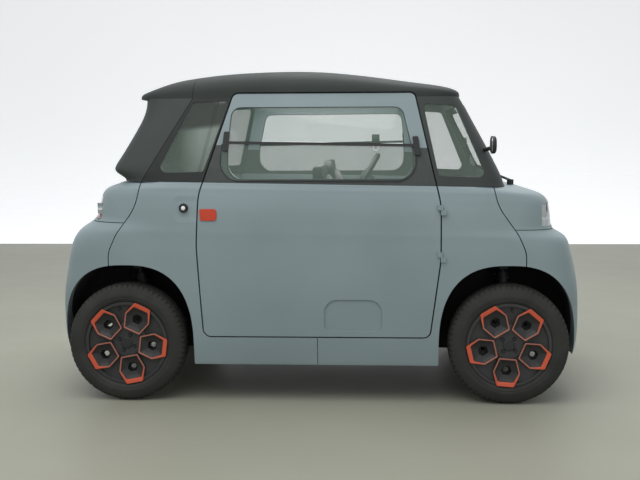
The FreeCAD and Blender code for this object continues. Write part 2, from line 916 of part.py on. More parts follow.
def make_chassis(forms):
    """Tube frame: each tube is a solid of its own, seated on its neighbours."""
    half = tube_size / 2
    gap = seat_gap
    on_rail = rail_z + tube_size + gap
    rail_in = rail_y - half - gap
    rail_out = rail_y + half + gap
    tubes = []

    def tube(sign, x0, x1, y0, y1, z0, z1):
        tubes.append(box(*sorted((sign * x0, sign * x1)), y0, y1, z0, z1))

    for side in (-1, 1):
        y0 = side * rail_y - half
        y1 = side * rail_y + half
        outward = sorted((side * rail_out, side * half_width))
        tubes.append(box(-half_length, half_length, y0, y1, rail_z, rail_z + tube_size))
        for sign in (-1, 1):
            tube(sign, bar_x, bar_x + tube_size, y0, y1, on_rail, bar_z - gap)
            tube(sign, panel_bar_x - half, panel_bar_x + half, y0, y1, on_rail, panel_bar_z - gap)
            tube(sign, scuttle_x - half, scuttle_x + half, y0, y1, on_rail, scuttle_z - gap)
            tube(sign, scuttle_x + half + gap, panel_bar_x - half - gap, y0, y1, tower_z, tower_z + tube_size)
            tube(sign, outrigger_x - half, outrigger_x + half, *outward, rail_z, rail_z + tube_size)
            reach = sorted((side * rail_out, side * (strut_top_y + 34)))
            tube(sign, axle_x - half, axle_x + half, *reach, tower_z, tower_z + tube_size)
    for sign in (-1, 1):
        tube(sign, panel_bar_x - half, panel_bar_x + half, -half_width, half_width, panel_bar_z,
             panel_bar_z + tube_size)
        tube(sign, scuttle_x - half, scuttle_x + half, -half_width, half_width, scuttle_z, scuttle_z + tube_size)
        tube(sign, scuttle_x - half, scuttle_x + half, -rail_in, rail_in, rail_z, rail_z + tube_size)
    for sign in (-1, 1):
        tube(sign, bar_x, bar_x + tube_size, -bar_half_width, bar_half_width, bar_z, bar_z + tube_size)
    tubes = [one.common(forms["carried"]).common(forms["carried_low"]) for one in tubes]
    for index, sign in ((-2, -1), (-1, 1)):
        eye_from = point(sign * (bar_x + 2), sign * eye_y, eye_z)
        eye_to = point(sign * (half_length - eye_sunk), sign * eye_y, eye_z)
        reach = V(sign * tube_size, 0, 0)
        bar = tubes[index].fuse(rod(eye_from, eye_to, eye_radius + 7))
        tubes[index] = bar.cut(rod(eye_from - reach, eye_to + reach, eye_radius))
    return {"chassis_frame": tubes}


def make_tub(forms):
    """Floor with raised front and rear walls, between the wheel arches."""
    t = tub_wall
    x = tub_x
    floor = box(-x, x, -half_width, half_width, floor_z, floor_z + t)
    walls = [box(x - t, x, -half_width, half_width, floor_z, dash_low_z - seat_gap),
             box(-x, -x + t, -half_width, half_width, floor_z, shelf_z + t)]
    shelf = box(-split_line[-1][0] - 40, -x + t, -half_width, half_width, shelf_z, shelf_z + t)
    low = box(-1500, 1500, -1000, 1000, 0, door_outline[0][1] - shut_gap - 8)
    whole = fused([floor] + walls + [shelf])
    tub = whole.common(forms["carried"]).common(low).fuse(whole.common(forms["inside_doors"]))
    return {"floor_tub": tub}


def make_liners(forms):
    """Moulded liners inside the wheel arches, with an inner wall."""
    pieces = []
    for sign in (-1, 1):
        outer = arch_prism(sign, liner_wall, -half_width - 50, -liner_inner_y + liner_wall)
        inner = arch_prism(sign, 0.4, -half_width - 100, -liner_inner_y)
        liner = outer.cut(inner).common(forms["carried"])
        liner = liner.cut(box(-1500, 1500, -1000, 1000, 0, liner_bottom))
        x = sign * axle_x
        inward = -liner_inner_y - 5
        outward = -liner_inner_y + 30
        arms = box(x - 215, x + 215, inward, outward, 0, axle_z + 60)
        tower = box(x - tube_size / 2 - 3, x + tube_size / 2 + 3, inward, outward, tower_z - 3, arch_top_z + 20)
        liner = liner.cut(arms).cut(tower)
        pieces += on_both_sides(liner)
    return {"wheel_liners": pieces}


def make_running_gear():
    """Motor block, battery, axles, arms, struts and the steered knuckles."""
    result = {}
    result["battery_pack"] = box(-520, 300, -rail_y + tube_size / 2 + 4, rail_y - tube_size / 2 - 4,
                                 rail_z - 10, floor_z - seat_gap)
    t = tube_size
    motor = box(axle_x - 95, axle_x + 95, -160, 160, rail_z + t + seat_gap, axle_z + 130)
    feet = [box(axle_x - 60, axle_x + 60, y - 60, y + 60, rail_z + t + seat_gap, rail_z + t + 22)
            for y in (-rail_y + 40, rail_y - 40)]
    shafts = []
    for side in (-1, 1):
        shaft_end = side * (kingpin_y - post_radius - seat_gap)
        shafts.append(rod(point(axle_x, side * 150, axle_z), point(axle_x, shaft_end, axle_z), 12))
        shafts.append(Part.makeCone(32, 20, 60, point(axle_x, side * 160, axle_z), point(0, side, 0)))
        shafts.append(Part.makeCone(20, 30, 50, point(axle_x, side * 392, axle_z), point(0, side, 0)))
    result["drive_unit"] = fused([motor] + feet + shafts)
    front = []
    for side in (-1, 1):
        pivot_y = side * (rail_y + t / 2)
        ball = point(axle_x, side * kingpin_y, axle_z - post_half - ball_radius - seat_gap)
        for dx in (-110, 110):
            front.append(rod(point(axle_x + dx, pivot_y + side * seat_gap, rail_z + t / 2), ball, 11))
        front.append(Part.makeSphere(ball_radius, ball))
        strut_low = point(axle_x, side * 430, axle_z + 60)
        strut_top = point(axle_x, side * strut_top_y, tower_z - seat_gap)
        front.append(rod(strut_low, strut_top, 11))
        middle = strut_low + (strut_top - strut_low) * 0.45
        front.append(rod(strut_low, middle, 20))
        front.append(Part.makeCylinder(34, 6, middle, strut_top - strut_low))
        front.append(rod(middle, strut_top - (strut_top - strut_low) * 0.06, 29))
        arm = rod(strut_low, point(axle_x, side * (kingpin_y - post_radius - seat_gap), axle_z + 60), 13)
        front.append(arm)
    above = box(-half_length, half_length, -half_width, half_width, tower_z - seat_gap, height)
    between = box(0, half_length, -rail_y - t / 2 - seat_gap, rail_y + t / 2 + seat_gap, 0, rail_z + t)
    result["front_suspension"] = [side.cut(above).cut(between) for side in joined_sides(front)]
    rear = []
    for side in (-1, 1):
        pivot = point(-axle_x + 180, side * (rail_y + t / 2 + 30), rail_z + t / 2)
        hub = point(-axle_x, side * 440, axle_z)
        rear.append(rod(point(pivot.x, side * (rail_y + t / 2 + seat_gap), pivot.z), pivot + V(0, side * 24, 0), 26))
        rear.append(rod(pivot, hub, 19))
        rear.append(rod(point(-axle_x, side * 100, axle_z), point(-axle_x, side * (wheel_y + hub_face), axle_z), beam_radius))
        rear.append(rod(point(-axle_x, side * (wheel_y - 20), axle_z), point(-axle_x, side * (wheel_y + 14), axle_z),
                        drum_radius))
        low = point(-axle_x + 60, side * 400, axle_z - 6)
        top = point(-axle_x + 4, side * strut_top_y, tower_z - seat_gap)
        rear.append(rod(low, top, 13))
        rear.append(rod(low + (top - low) * 0.2, low + (top - low) * 0.92, 30))
    rear.append(rod(point(-axle_x, -120, axle_z), point(-axle_x, 120, axle_z), beam_radius))
    result["rear_axle"] = fused(rear).cut(above)
    for name, side in (("right", -1), ("left", 1)):
        post = rod(point(axle_x, side * kingpin_y, axle_z - post_half), point(axle_x, side * kingpin_y, axle_z + post_half),
                   post_radius)
        spindle = rod(point(axle_x, side * (kingpin_y + 5), axle_z), point(axle_x, side * (wheel_y + hub_face), axle_z), 20)
        drum = rod(point(axle_x, side * (wheel_y - 20), axle_z), point(axle_x, side * (wheel_y + 14), axle_z), drum_radius)
        arm = rod(point(axle_x, side * kingpin_y, axle_z - 40), point(axle_x - 110, side * (kingpin_y - 20), axle_z - 40), 11)
        result["knuckle_" + name] = fused([post, spindle, drum, arm])
    return result


def joined_sides(parts):
    """Fuses what touches; the two sides stay separate solids of one node."""
    left = fused([p for p in parts if p.CenterOfMass.y > 0])
    right = fused([p for p in parts if p.CenterOfMass.y < 0])
    return [left, right]


def on_line(start, end, at):
    """Second coordinate of the line from start to end, where the first is at."""
    share = (at - start[0]) / (end[0] - start[0])
    return start[1] + (end[1] - start[1]) * share


def make_seat(side, top_x, top_z):
    """A thin moulded shell, its pedestal on two runners, and the two pads."""
    y = side * seat_y
    half = seat_width / 2
    base_x = top_x + (top_z - seat_z) * math.tan(math.radians(seat_lean))
    front_x = base_x + seat_length
    runner_z = floor_z + tub_wall + seat_gap
    back_low = (base_x + 34, seat_z + 10)
    back_high = (top_x + 14, top_z)
    pan_rear = (base_x + 20, seat_z - 20)
    pan_front = (front_x + 6, seat_z - 6)
    under_rear = (base_x - 34, seat_z - 40)
    under_front = (front_x, seat_z - 46)
    back = [(*under_rear, 30), (base_x + 30, seat_z - 40, 10), (*back_low, 20), (*back_high, 12),
            (top_x - 30, top_z, 22)]
    pan = [(*under_rear, 30), (*under_front, 18), (*pan_front, 14), (*pan_rear, 12), (base_x - 10, seat_z, 0)]
    post_rear = base_x + 40
    post_front = front_x - 90
    foot_z = runner_z + 12 + seat_gap
    post = side_prism([(post_rear, foot_z, 0), (post_front, foot_z, 0),
                       (post_front, on_line(under_rear, under_front, post_front) - seat_gap, 0),
                       (post_rear, on_line(under_rear, under_front, post_rear) - seat_gap, 0)], y - half, y + half)
    post = post.common(plan_prism([(post_rear, y - half + 90, 25), (post_front, y - half + 90, 25),
                                   (post_front, y + half - 90, 25), (post_rear, y + half - 90, 25)], 0, seat_z))
    runners = [box(base_x - 10, front_x - 40, ry - 16, ry + 16, runner_z, runner_z + 12)
               for ry in (y - half + 106, y + half - 106)]
    trim = front_prism([(y - half, 0, 0), (y + half, 0, 0), (y + half, top_z, seat_corner),
                        (y - half, top_z, seat_corner)], base_x - seat_length, base_x + 2 * seat_length)
    shell = fused([side_prism(back, y - half, y + half), side_prism(pan, y - half, y + half)]).common(trim)
    z_low = seat_z + 62
    z_high = top_z - pad_inset - 24
    x_low = on_line(back_low[::-1], back_high[::-1], z_low) + seat_gap
    x_high = on_line(back_low[::-1], back_high[::-1], z_high) + seat_gap
    back_pad = [(x_low, z_low, 0), (x_low + back_pad_thickness, z_low, 16), (x_high + back_pad_thickness, z_high, 16),
                (x_high, z_high, 0)]
    x_rear = base_x + 56
    x_front = front_x - 18
    z_rear = on_line(pan_rear, pan_front, x_rear) + seat_gap
    z_front = on_line(pan_rear, pan_front, x_front) + seat_gap
    seat_pad = [(x_rear, z_rear, 0), (x_front, z_front, 0), (x_front, z_front + pad_thickness, 16),
                (x_rear, z_rear + pad_thickness, 16)]
    pads = [side_prism(outline, y - half + pad_inset, y + half - pad_inset) for outline in (back_pad, seat_pad)]
    return [shell.removeSplitter(), post] + runners, pads


def make_dashboard(forms):
    """The shelf under the windscreen and the steering column's tube."""
    profile = [(780, 800 + 52, 0), (780, 946, 8), (470, 946, 30), (405, 905, 20), (405, 800, 30), (470, dash_low_z, 20),
               (scuttle_x - 26, dash_low_z, 0), (scuttle_x - 26, scuttle_z + tube_size + seat_gap, 0),
               (700, scuttle_z + tube_size + seat_gap, 0)]
    block = across_cut(profile).common(forms["inside_doors"])
    bins = [plan_prism([(440, y - 120, 30), (600, y - 120, 30), (600, y + 120, 30), (440, y + 120, 30)], 870, 1000)
            for y in (-380, -90)]
    for one in bins:
        block = block.cut(one)
    axis = column_axis()
    hub = steering_centre()
    tube = Part.makeCylinder(23, 210, hub + axis * 46, axis)
    stalk_a = rod(hub + axis * 70, hub + axis * 60 + V(0, 120, 18), 6)
    stalk_b = rod(hub + axis * 70, hub + axis * 60 + V(0, -120, 18), 6)
    display = box(470, 488, steering_wheel_y - 85, steering_wheel_y + 85, 930, 1000)
    return {"dashboard": fused([block, tube, stalk_a, stalk_b, display])}


def column_axis():
    angle = math.radians(column_angle)
    return V(math.cos(angle), 0, -math.sin(angle))


def steering_centre():
    return point(steering_wheel_x, steering_wheel_y, steering_wheel_z)


def make_steering_wheel():
    centre = steering_centre()
    axis = column_axis()
    rim = Part.makeTorus(steering_wheel_radius, 15, centre, axis)
    hub = Part.makeCylinder(36, 62, centre + axis * -16, axis)
    boss = Part.makeCone(58, 40, 24, centre + axis * -14, axis)
    up = V(math.sin(math.radians(column_angle)), 0, math.cos(math.radians(column_angle)))
    spokes = []
    for a in (0.0, 180.0, 270.0):
        d = up * math.sin(math.radians(a)) + V(0, 1, 0) * math.cos(math.radians(a))
        spokes.append(rod(centre + d * 20, centre + d * steering_wheel_radius, 11))
    return {"steering_wheel": fused([rim, hub, boss] + spokes).cut(
        Part.makeCylinder(23.5, 40, centre + axis * 45.7, axis))}


def make_outside_trim(forms):
    """Round mirrors on arms, and the wiper."""
    mirrors = []
    for side in (-1, 1):
        centre = point(mirror_x, side * mirror_y, mirror_z)
        near, far = sorted((side * (mirror_y - mirror_half_width), side * (mirror_y + mirror_half_width)))
        low = mirror_z - mirror_half_height
        high = mirror_z + mirror_half_height
        outline = [(near, low, 36), (far, low, 36), (far, high, 36), (near, high, 36)]
        head = front_prism(outline, mirror_x - mirror_depth / 2, mirror_x + mirror_depth / 2)
        front_edges = [e for e in head.Edges if e.BoundBox.XMin > mirror_x]
        head = head.makeFillet(mirror_depth * 0.6, front_edges)
        arm = tube_path([centre, point(mirror_x + 6, side * (mirror_y - 70), mirror_z - 12),
                         point(mirror_x - 40, side * 500, mirror_z - 30)], 9)
        arm = arm.cut(cabin_form(-seat_gap))
        mirrors.append(fused([head, arm]).removeSplitter())
    pivot = Part.makeCylinder(16, 26, point(wiper_x, wiper_y, wiper_z - 22), point(0, 0, 1))
    arm = rod(point(wiper_x, wiper_y, wiper_z), point(wiper_x - 61, wiper_y + 270, wiper_z + 30), 6)
    blade = rod(point(wiper_x - 58, wiper_y + 10, wiper_z + 20), point(wiper_x - 66, wiper_y + 530, wiper_z + 42), 7)
    wiper = fused([pivot, arm, blade]).cut(cabin_form(-seat_gap)).cut(body_form(-seat_gap))
    return {"mirrors": mirrors, "wiper": wiper}


def main():
    os.makedirs("parts", exist_ok=True)
    forms = build_forms()
    pieces = {}
    pieces.update(make_side_panels(forms))
    pieces.update(make_ends(forms))
    pieces.update(make_doors(forms))
    pieces.update(make_cabin(forms))
    pieces.update(make_roof())
    pieces.update(make_locks())
    pieces.update(make_chassis(forms))
    pieces.update(make_tub(forms))
    pieces.update(make_liners(forms))
    pieces.update(make_running_gear())
    pieces["seat_passenger"], near_pads = make_seat(-1, near_seat_x, near_seat_top)
    pieces["seat_driver"], far_pads = make_seat(1, far_seat_x, far_seat_top)
    pieces["seat_pads"] = near_pads + far_pads
    pieces.update(make_dashboard(forms))
    pieces.update(make_steering_wheel())
    pieces.update(make_outside_trim(forms))
    for name, angle, x, side in (("wheel_front_right", front_hex_angle, axle_x, -1),
                                 ("wheel_front_left", front_hex_angle, axle_x, 1),
                                 ("wheel_rear_right", rear_hex_angle, -axle_x, -1),
                                 ("wheel_rear_left", rear_hex_angle, -axle_x, 1)):
        pieces.update(make_wheel(name, angle, x, side))
    for name, shape in pieces.items():
        save(name, shape)


main()
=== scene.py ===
import math
from itertools import product

import bpy
import bmesh
from mathutils import Matrix, Vector
from mathutils.bvhtree import BVHTree


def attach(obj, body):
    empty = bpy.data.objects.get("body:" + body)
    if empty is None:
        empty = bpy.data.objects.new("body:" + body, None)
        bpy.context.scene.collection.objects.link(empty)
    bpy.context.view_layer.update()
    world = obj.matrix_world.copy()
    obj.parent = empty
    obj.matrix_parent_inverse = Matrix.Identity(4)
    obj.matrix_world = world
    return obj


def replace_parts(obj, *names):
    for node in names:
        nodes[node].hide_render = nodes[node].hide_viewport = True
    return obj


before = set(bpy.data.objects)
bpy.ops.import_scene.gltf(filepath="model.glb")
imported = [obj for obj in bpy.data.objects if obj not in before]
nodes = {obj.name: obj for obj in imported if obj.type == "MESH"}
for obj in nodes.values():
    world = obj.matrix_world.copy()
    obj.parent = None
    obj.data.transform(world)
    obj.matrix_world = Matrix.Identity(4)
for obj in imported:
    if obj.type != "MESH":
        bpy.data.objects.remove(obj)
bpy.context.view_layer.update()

AXLE_X = 0.870
AXLE_Z = 0.272
WHEEL_Y = 0.600
HEX_RADIUS = 0.125
HEX_CORNER = 0.005
TYRE_R = 0.272
TYRE_HALF = 0.075
RIM_R = 0.184
RIM_HALF = 0.066
BELT_Z = 0.996
BAR_Z = 1.177
BELT_SLOPE = 0.019
DOOR_CENTRE_X = 0.0165
FORWARD, ACROSS, UP = Vector((1, 0, 0)), Vector((0, 1, 0)), Vector((0, 0, 1))
SIDES = (("right", -1), ("left", 1))
SIDE_PANELS = [f"side_panel_{end}_{side}" for end in ("front", "rear") for side, _ in SIDES]
# Each wheel's place along X, its side and the angle of its first hexagon
WHEELS = {
    "wheel_front_right": (AXLE_X, -1, 49.3),
    "wheel_front_left": (AXLE_X, 1, 49.3),
    "wheel_rear_right": (-AXLE_X, -1, 65.0),
    "wheel_rear_left": (-AXLE_X, 1, 65.0),
}


def put(target, values):
    for key, value in values.items():
        setattr(target, key, value)


# Camera at the photograph's place
yaw, pitch, roll = [math.radians(angle) for angle in (3.65, 5.74, -0.34)]
forward = Vector((-math.sin(yaw) * math.cos(pitch), math.cos(yaw) * math.cos(pitch), -math.sin(pitch)))
right = Vector((math.cos(yaw), math.sin(yaw), 0.0))
up = right.cross(forward)
right_rolled = right * math.cos(roll) + up * math.sin(roll)
up_rolled = up * math.cos(roll) - right * math.sin(roll)
data = bpy.data.cameras.new("camera")
data.sensor_width = 36.0
data.lens = 54.9
data.clip_start = 0.05
camera = bpy.data.objects.new("camera", data)
turn = Matrix((right_rolled, up_rolled, -forward)).transposed().to_4x4()
camera.matrix_world = Matrix.Translation((0.301, -5.014, 1.185)) @ turn
bpy.context.scene.collection.objects.link(camera)
bpy.context.scene.camera = camera


# Materials, kept in looks by name
looks = {}


def math_method(operation):
    return lambda self, other=None: self.shader.math(operation, self, other)


class Value:
    """A number in a node tree; working with it adds math nodes."""

    def __init__(self, shader, socket):
        self.shader = shader
        self.socket = socket

    def __rsub__(self, other):
        return self.shader.math("SUBTRACT", other, self)

    __add__ = math_method("ADD")
    __sub__ = math_method("SUBTRACT")
    __mul__ = math_method("MULTIPLY")
    __gt__ = math_method("GREATER_THAN")
    __lt__ = math_method("LESS_THAN")
    __abs__ = math_method("ABSOLUTE")
    at_least = math_method("MAXIMUM")
    at_most = math_method("MINIMUM")

    def ramped(self, slope):
        """Times slope, kept between 0 and 1."""
        return self.shader.math("MULTIPLY", self, slope, clamp=True)


class Shader:
    """A node material with a few short ways to add nodes."""

    def __init__(self, name, **sockets):
        self.material = looks[name] = bpy.data.materials.new(name)
        self.material.use_nodes = True
        self.tree = self.material.node_tree
        self.bsdf = self.tree.nodes["Principled BSDF"]
        self.coords = self.node("TexCoord").outputs["Object"]
        self.split = None
        for key, value in sockets.items():
            self.bsdf.inputs[key.replace("_", " ")].default_value = value

    def node(self, kind, inputs=None, **settings):
        made = self.tree.nodes.new("ShaderNode" + kind)
        put(made, settings)
        for key, value in (inputs or {}).items():
            made.inputs[key].default_value = value
        return made

    def link(self, source, target):
        self.tree.links.new(source.socket if isinstance(source, Value) else source, target)

    def noise(self, scale, detail=3.0):
        made = self.node("TexNoise", {"Scale": scale, "Detail": detail})
        self.link(self.coords, made.inputs["Vector"])
        return Value(self, made.outputs["Fac"])

    def ramp(self, factor, stops):
        made = self.node("ValToRGB")
        for element, (place, colour) in zip(made.color_ramp.elements, stops):
            element.position = place
            element.color = (*colour, 1.0)
        self.link(factor, made.inputs["Fac"])
        return made.outputs["Color"]

    def shades(self, factor, base, spread, low=0.3):
        """A darker and a lighter tone of one colour."""
        dark = tuple(c * (1.0 - spread) for c in base)
        light = tuple(min(1.0, c * (1.0 + spread)) for c in base)
        return self.ramp(factor, [(low, dark), (0.7, light)])

    def math(self, operation, a, b=None, clamp=False):
        made = self.node("Math", operation=operation, use_clamp=clamp)
        for slot, value in zip(made.inputs, (a, b)):
            if isinstance(value, Value):
                self.link(value, slot)
            elif value is not None:
                slot.default_value = value
        return Value(self, made.outputs["Value"])

    def axis(self, name):
        if self.split is None:
            self.split = self.node("SeparateXYZ")
            self.link(self.coords, self.split.inputs[0])
        return Value(self, self.split.outputs[name])

    def mix(self, factor, a, b):
        made = self.node("Mix", data_type="RGBA")
        for value, slot in ((a, made.inputs[6]), (b, made.inputs[7])):
            if isinstance(value, tuple):
                slot.default_value = (*value, 1.0)
            else:
                self.link(value, slot)
        self.link(factor, made.inputs[0])
        return made.outputs[2]

    def colour(self, source):
        self.link(source, self.bsdf.inputs["Base Color"])

    def tones(self, scale, detail, dark, light, high=0.7):
        self.colour(self.ramp(self.noise(scale, detail), [(0.3, dark), (high, light)]))

    def base(self):
        return self.bsdf.inputs["Base Color"].links[0].from_socket

    def alpha(self, source):
        self.link(source, self.bsdf.inputs["Alpha"])

    def rough(self, scale, detail, low, high):
        factor = self.noise(scale, detail)
        made = self.node("MapRange", {"To Min": low, "To Max": high})
        self.link(factor, made.inputs["Value"])
        self.link(made.outputs["Result"], self.bsdf.inputs["Roughness"])

    def bump(self, height, strength, distance, edge=0.0):
        """A bump on the normal so far; edge rounds sharp edges by its radius."""
        made = self.node("Bump", {"Strength": strength, "Distance": distance})
        self.link(height, made.inputs["Height"])
        normal = self.bsdf.inputs["Normal"]
        if edge:
            rounded = self.node("Bevel", {"Radius": edge}, samples=4)
            self.link(rounded.outputs["Normal"], made.inputs["Normal"])
        elif normal.is_linked:
            self.link(normal.links[0].from_socket, made.inputs["Normal"])
        self.link(made.outputs["Normal"], normal)

    def belt_level(self):
        """Height along the belt line, which drops towards the front."""
        return self.axis("Z") + self.axis("X") * BELT_SLOPE

    def ahead_of(self, x0, z0, slope):
        """How far a point lies ahead of a line in the side view."""
        return self.axis("X") - ((self.axis("Z") - z0) * slope + x0)


def rounded_box(a, b, centre, half, radius):
    """Signed distance, in metres, to a rounded rectangle in two coordinates."""
    p, q = [abs(value - mid) - (reach - radius) for value, mid, reach in zip((a, b), centre, half)]
    m, n = p.at_least(0.0), q.at_least(0.0)
    return a.shader.math("SQRT", m * m + n * n) + p.at_least(q).at_most(0.0) - radius


def plastic(name, base, spread=0.05, low=0.36, high=0.48, grain=900.0, depth=0.0002, strength=0.12,
            specular=0.45):
    shader = Shader(name, Specular_IOR_Level=specular)
    shader.colour(shader.shades(shader.noise(2.6, 4.0), base, spread))
    shader.rough(14.0, 5.0, low, high)
    shader.bump(shader.noise(grain, 2.0), strength, depth, 0.0018)
    return shader


def metal(name, base, low, high, metallic=1.0):
    shader = Shader(name, Metallic=metallic)
    shader.colour(shader.shades(shader.noise(18.0, 5.0), base, 0.08))
    shader.rough(60.0, 4.0, low, high)
    shader.bump(shader.noise(500.0, 3.0), 0.08, 0.0003)


def fabric(name, base):
    shader = Shader(name, Roughness=0.92, Sheen_Weight=0.35, Sheen_Roughness=0.5, Specular_IOR_Level=0.2)
    waves = []
    for direction in ("X", "Y"):
        wave = shader.node("TexWave", {"Scale": 260.0, "Distortion": 1.2}, wave_type="BANDS",
                           bands_direction=direction)
        shader.link(shader.coords, wave.inputs["Vector"])
        waves.append(Value(shader, wave.outputs["Fac"]))
    weave = waves[0].at_least(waves[1])
    shader.colour(shader.shades(weave * shader.noise(7.0, 4.0), base, 0.35, 0.1))
    shader.bump(weave, 0.45, 0.0006)


def glass(name, tint, alpha, border=None, flap=None):
    """Thin glass; border adds a black printed edge where its distance is positive.

    flap is the tint and the added veil below the line between pane and flap."""
    shader = Shader(name, Roughness=0.03, IOR=1.6, Specular_IOR_Level=0.7)
    streaks = shader.noise(5.0, 3.0)
    colour = shader.shades(streaks, tint, 0.06)
    veil = streaks * 0.05 + (alpha - 0.025)
    if flap:
        under = shader.belt_level() < BAR_Z
        veil = veil + under * flap[1]
        colour = shader.mix(under, colour, flap[0])
    if border:
        mask = border(shader).ramped(1500.0)
        colour = shader.mix(mask, colour, (0.012, 0.013, 0.014))
        veil = veil.at_least(mask)
    shader.colour(colour)
    shader.alpha(veil)


def quarter_glass():
    """Clear glass; the rear panes are dark above, with a pale patch of painted reflection beside the door and
    a paler, thicker veil of painted reflection on the far rear panes.
    """
    shader = Shader("quarter_glass", Roughness=0.03, IOR=1.6, Specular_IOR_Level=0.7)
    streaks = shader.noise(5.0, 3.0)
    colour = shader.ramp(streaks, [(0.3, (0.20, 0.27, 0.22)), (0.7, (0.23, 0.30, 0.25))])
    x, z = shader.axis("X"), shader.axis("Z")
    rear = x < -0.30
    under = (x * 0.12 + 1.325 - z).ramped(45.0)
    fade = 1.0 - (1.19 - z).ramped(3.6)
    # painted reflection: a pale patch on the lower part of the rear panes beside the door
    painted_reflection_patch = under * fade * (x + 0.615).ramped(11.0) * rear
    above = (1.0 - under) * rear
    # painted reflection: the far rear panes get a paler colour and a thicker veil
    far = (shader.axis("Y") > 0.0) * rear
    colour = shader.mix(painted_reflection_patch, colour, (0.34, 0.40, 0.36))
    colour = shader.mix(above, colour, (0.075, 0.085, 0.075))
    shader.colour(shader.mix(far, colour, (0.25, 0.27, 0.255)))
    veil = streaks * 0.05 + 0.185 + (painted_reflection_patch + above) * 0.26
    shader.alpha(veil.at_least(far * 0.42))


def screen_border(centre_z, half_y, half_z, slope):
    def border(shader):
        z = shader.axis("Z")
        y = abs(shader.axis("Y")) + (z - centre_z) * slope
        return rounded_box(y, z, (0.0, centre_z), (half_y, half_z), 0.05)
    return border


def flap_border(shader):
    """The edge of a door's flap; the left door is the right one turned half round."""
    x, y, z = [shader.axis(name) for name in "XYZ"]
    left = y > 0.0
    along = x * (1.0 - left) + (2 * DOOR_CENTRE_X - x) * left
    flap = rounded_box(along, z, (0.013, 1.118), (0.435, 0.103), 0.078)
    return flap - (shader.belt_level() > BAR_Z - 0.004)


BODY_COLOUR = (0.233, 0.293, 0.310)
DARK_COLOUR = (0.045, 0.052, 0.050)
GLASS_TINT = (0.168, 0.256, 0.206)


def door_plastic():
    """Body colour, with the dark band beside and under the drop-down window."""
    shader = plastic("door_plastic", BODY_COLOUR)
    level = shader.belt_level()
    band = (level > BELT_Z) * (level < BAR_Z - 0.012) * (abs(shader.axis("Y")) > 0.600)
    dark = shader.shades(shader.noise(30.0, 4.0), DARK_COLOUR, 0.1)
    shader.colour(shader.mix(band, shader.base(), dark))


def pillar_plastic():
    """Dark plastic, with a darker panel between the rear pillar's crease and the door."""
    shader = plastic("pillar_plastic", (0.050, 0.058, 0.056), 0.08, 0.50, 0.62, specular=0.25)
    ahead = shader.ahead_of(-0.777, 1.030, 0.6145)
    side = abs(shader.axis("Y")) > 0.50
    panel = shader.mix(ahead.ramped(900.0) * side, shader.base(), (0.027, 0.031, 0.030))
    shader.colour(shader.mix((abs(ahead) < 0.0022) * side, panel, (0.006, 0.006, 0.006)))


def roof_plastic():
    """Dark plastic with the fine joint across the roof's rear."""
    shader = plastic("roof_plastic", (0.042, 0.049, 0.046), 0.08, 0.52, 0.64, specular=0.16)
    crease = abs(shader.ahead_of(-0.561, 1.388, 0.13)) < 0.0016
    shader.colour(shader.mix(crease, shader.base(), (0.010, 0.011, 0.011)))


def lock_panel_plastic(name, x):
    """Body colour with a shallow scoop pressed in around the lock."""
    shader = plastic(name, BODY_COLOUR)
    reach = rounded_box(shader.axis("X"), shader.axis("Z"), (x, 0.888), (0.066, 0.048), 0.030)
    shader.bump((reach + 0.012).ramped(42.0), 1.0, 0.0026)


def trim_plastic():
    """Orange trim, paler and duller along the thin edges near the hub."""
    shader = plastic("orange_trim", (0.58, 0.092, 0.042), 0.06, 0.30, 0.42)
    along = abs(shader.axis("X")) - AXLE_X
    rise = shader.axis("Z") - AXLE_Z
    reach = shader.math("SQRT", along * along + rise * rise)
    shader.colour(shader.mix((reach - 0.130).ramped(28.0), (0.36, 0.135, 0.095), shader.base()))


def tyre_rubber():
    shader = Shader("tyre_rubber", Specular_IOR_Level=0.28)
    shader.tones(9.0, 6.0, (0.027, 0.027, 0.025), (0.041, 0.040, 0.037), 0.72)
    shader.rough(40.0, 4.0, 0.66, 0.86)
    shader.bump(shader.noise(700.0, 3.0), 0.2, 0.0004)


def studio_floor():
    shader = Shader("studio_floor", Specular_IOR_Level=0.22)
    shader.tones(0.9, 5.0, (0.290, 0.290, 0.232), (0.315, 0.315, 0.255))
    shader.rough(3.0, 4.0, 0.42, 0.54)
    shader.bump(shader.noise(120.0, 2.0), 0.03, 0.0005)


def studio_wall():
    shader = Shader("studio_wall", Roughness=0.9, Emission_Strength=0.41)
    shader.tones(0.6, 3.0, (0.83, 0.83, 0.84), (0.85, 0.85, 0.86))
    shader.bsdf.inputs["Emission Color"].default_value = (0.93, 0.94, 0.96, 1.0)


plastic("body_plastic", BODY_COLOUR)
plastic("dark_plastic", DARK_COLOUR, 0.08, 0.50, 0.62, specular=0.25)
plastic("black_plastic", (0.016, 0.017, 0.018), 0.15, 0.42, 0.62, 650.0, 0.0005, 0.35)
plastic("rim_paint", (0.034, 0.035, 0.035), 0.1, 0.38, 0.52)
plastic("well_black", (0.022, 0.022, 0.023), 0.15, 0.45, 0.60)
plastic("orange_tag", (0.52, 0.050, 0.018), 0.05, 0.40, 0.52)
plastic("floor_plastic", (0.030, 0.031, 0.033), 0.15, 0.55, 0.75, 350.0, 0.0008, 0.5)
plastic("rubber_seal", (0.012, 0.012, 0.012), 0.15, 0.55, 0.7, 500.0, 0.0004, 0.3)
plastic("liner_felt", (0.014, 0.014, 0.014), 0.25, 0.85, 0.98, 420.0, 0.0015, 0.8)
plastic("lamp_core", (0.55, 0.57, 0.58), 0.04, 0.10, 0.16, 300.0, 0.0002, 0.05)
plastic("lamp_red_core", (0.40, 0.03, 0.02), 0.06, 0.12, 0.2, 300.0, 0.0002, 0.05)
plastic("display_black", (0.010, 0.011, 0.013), 0.10, 0.06, 0.12, 300.0, 0.0001, 0.03)
metal("frame_steel", (0.035, 0.035, 0.037), 0.45, 0.6, 0.3)
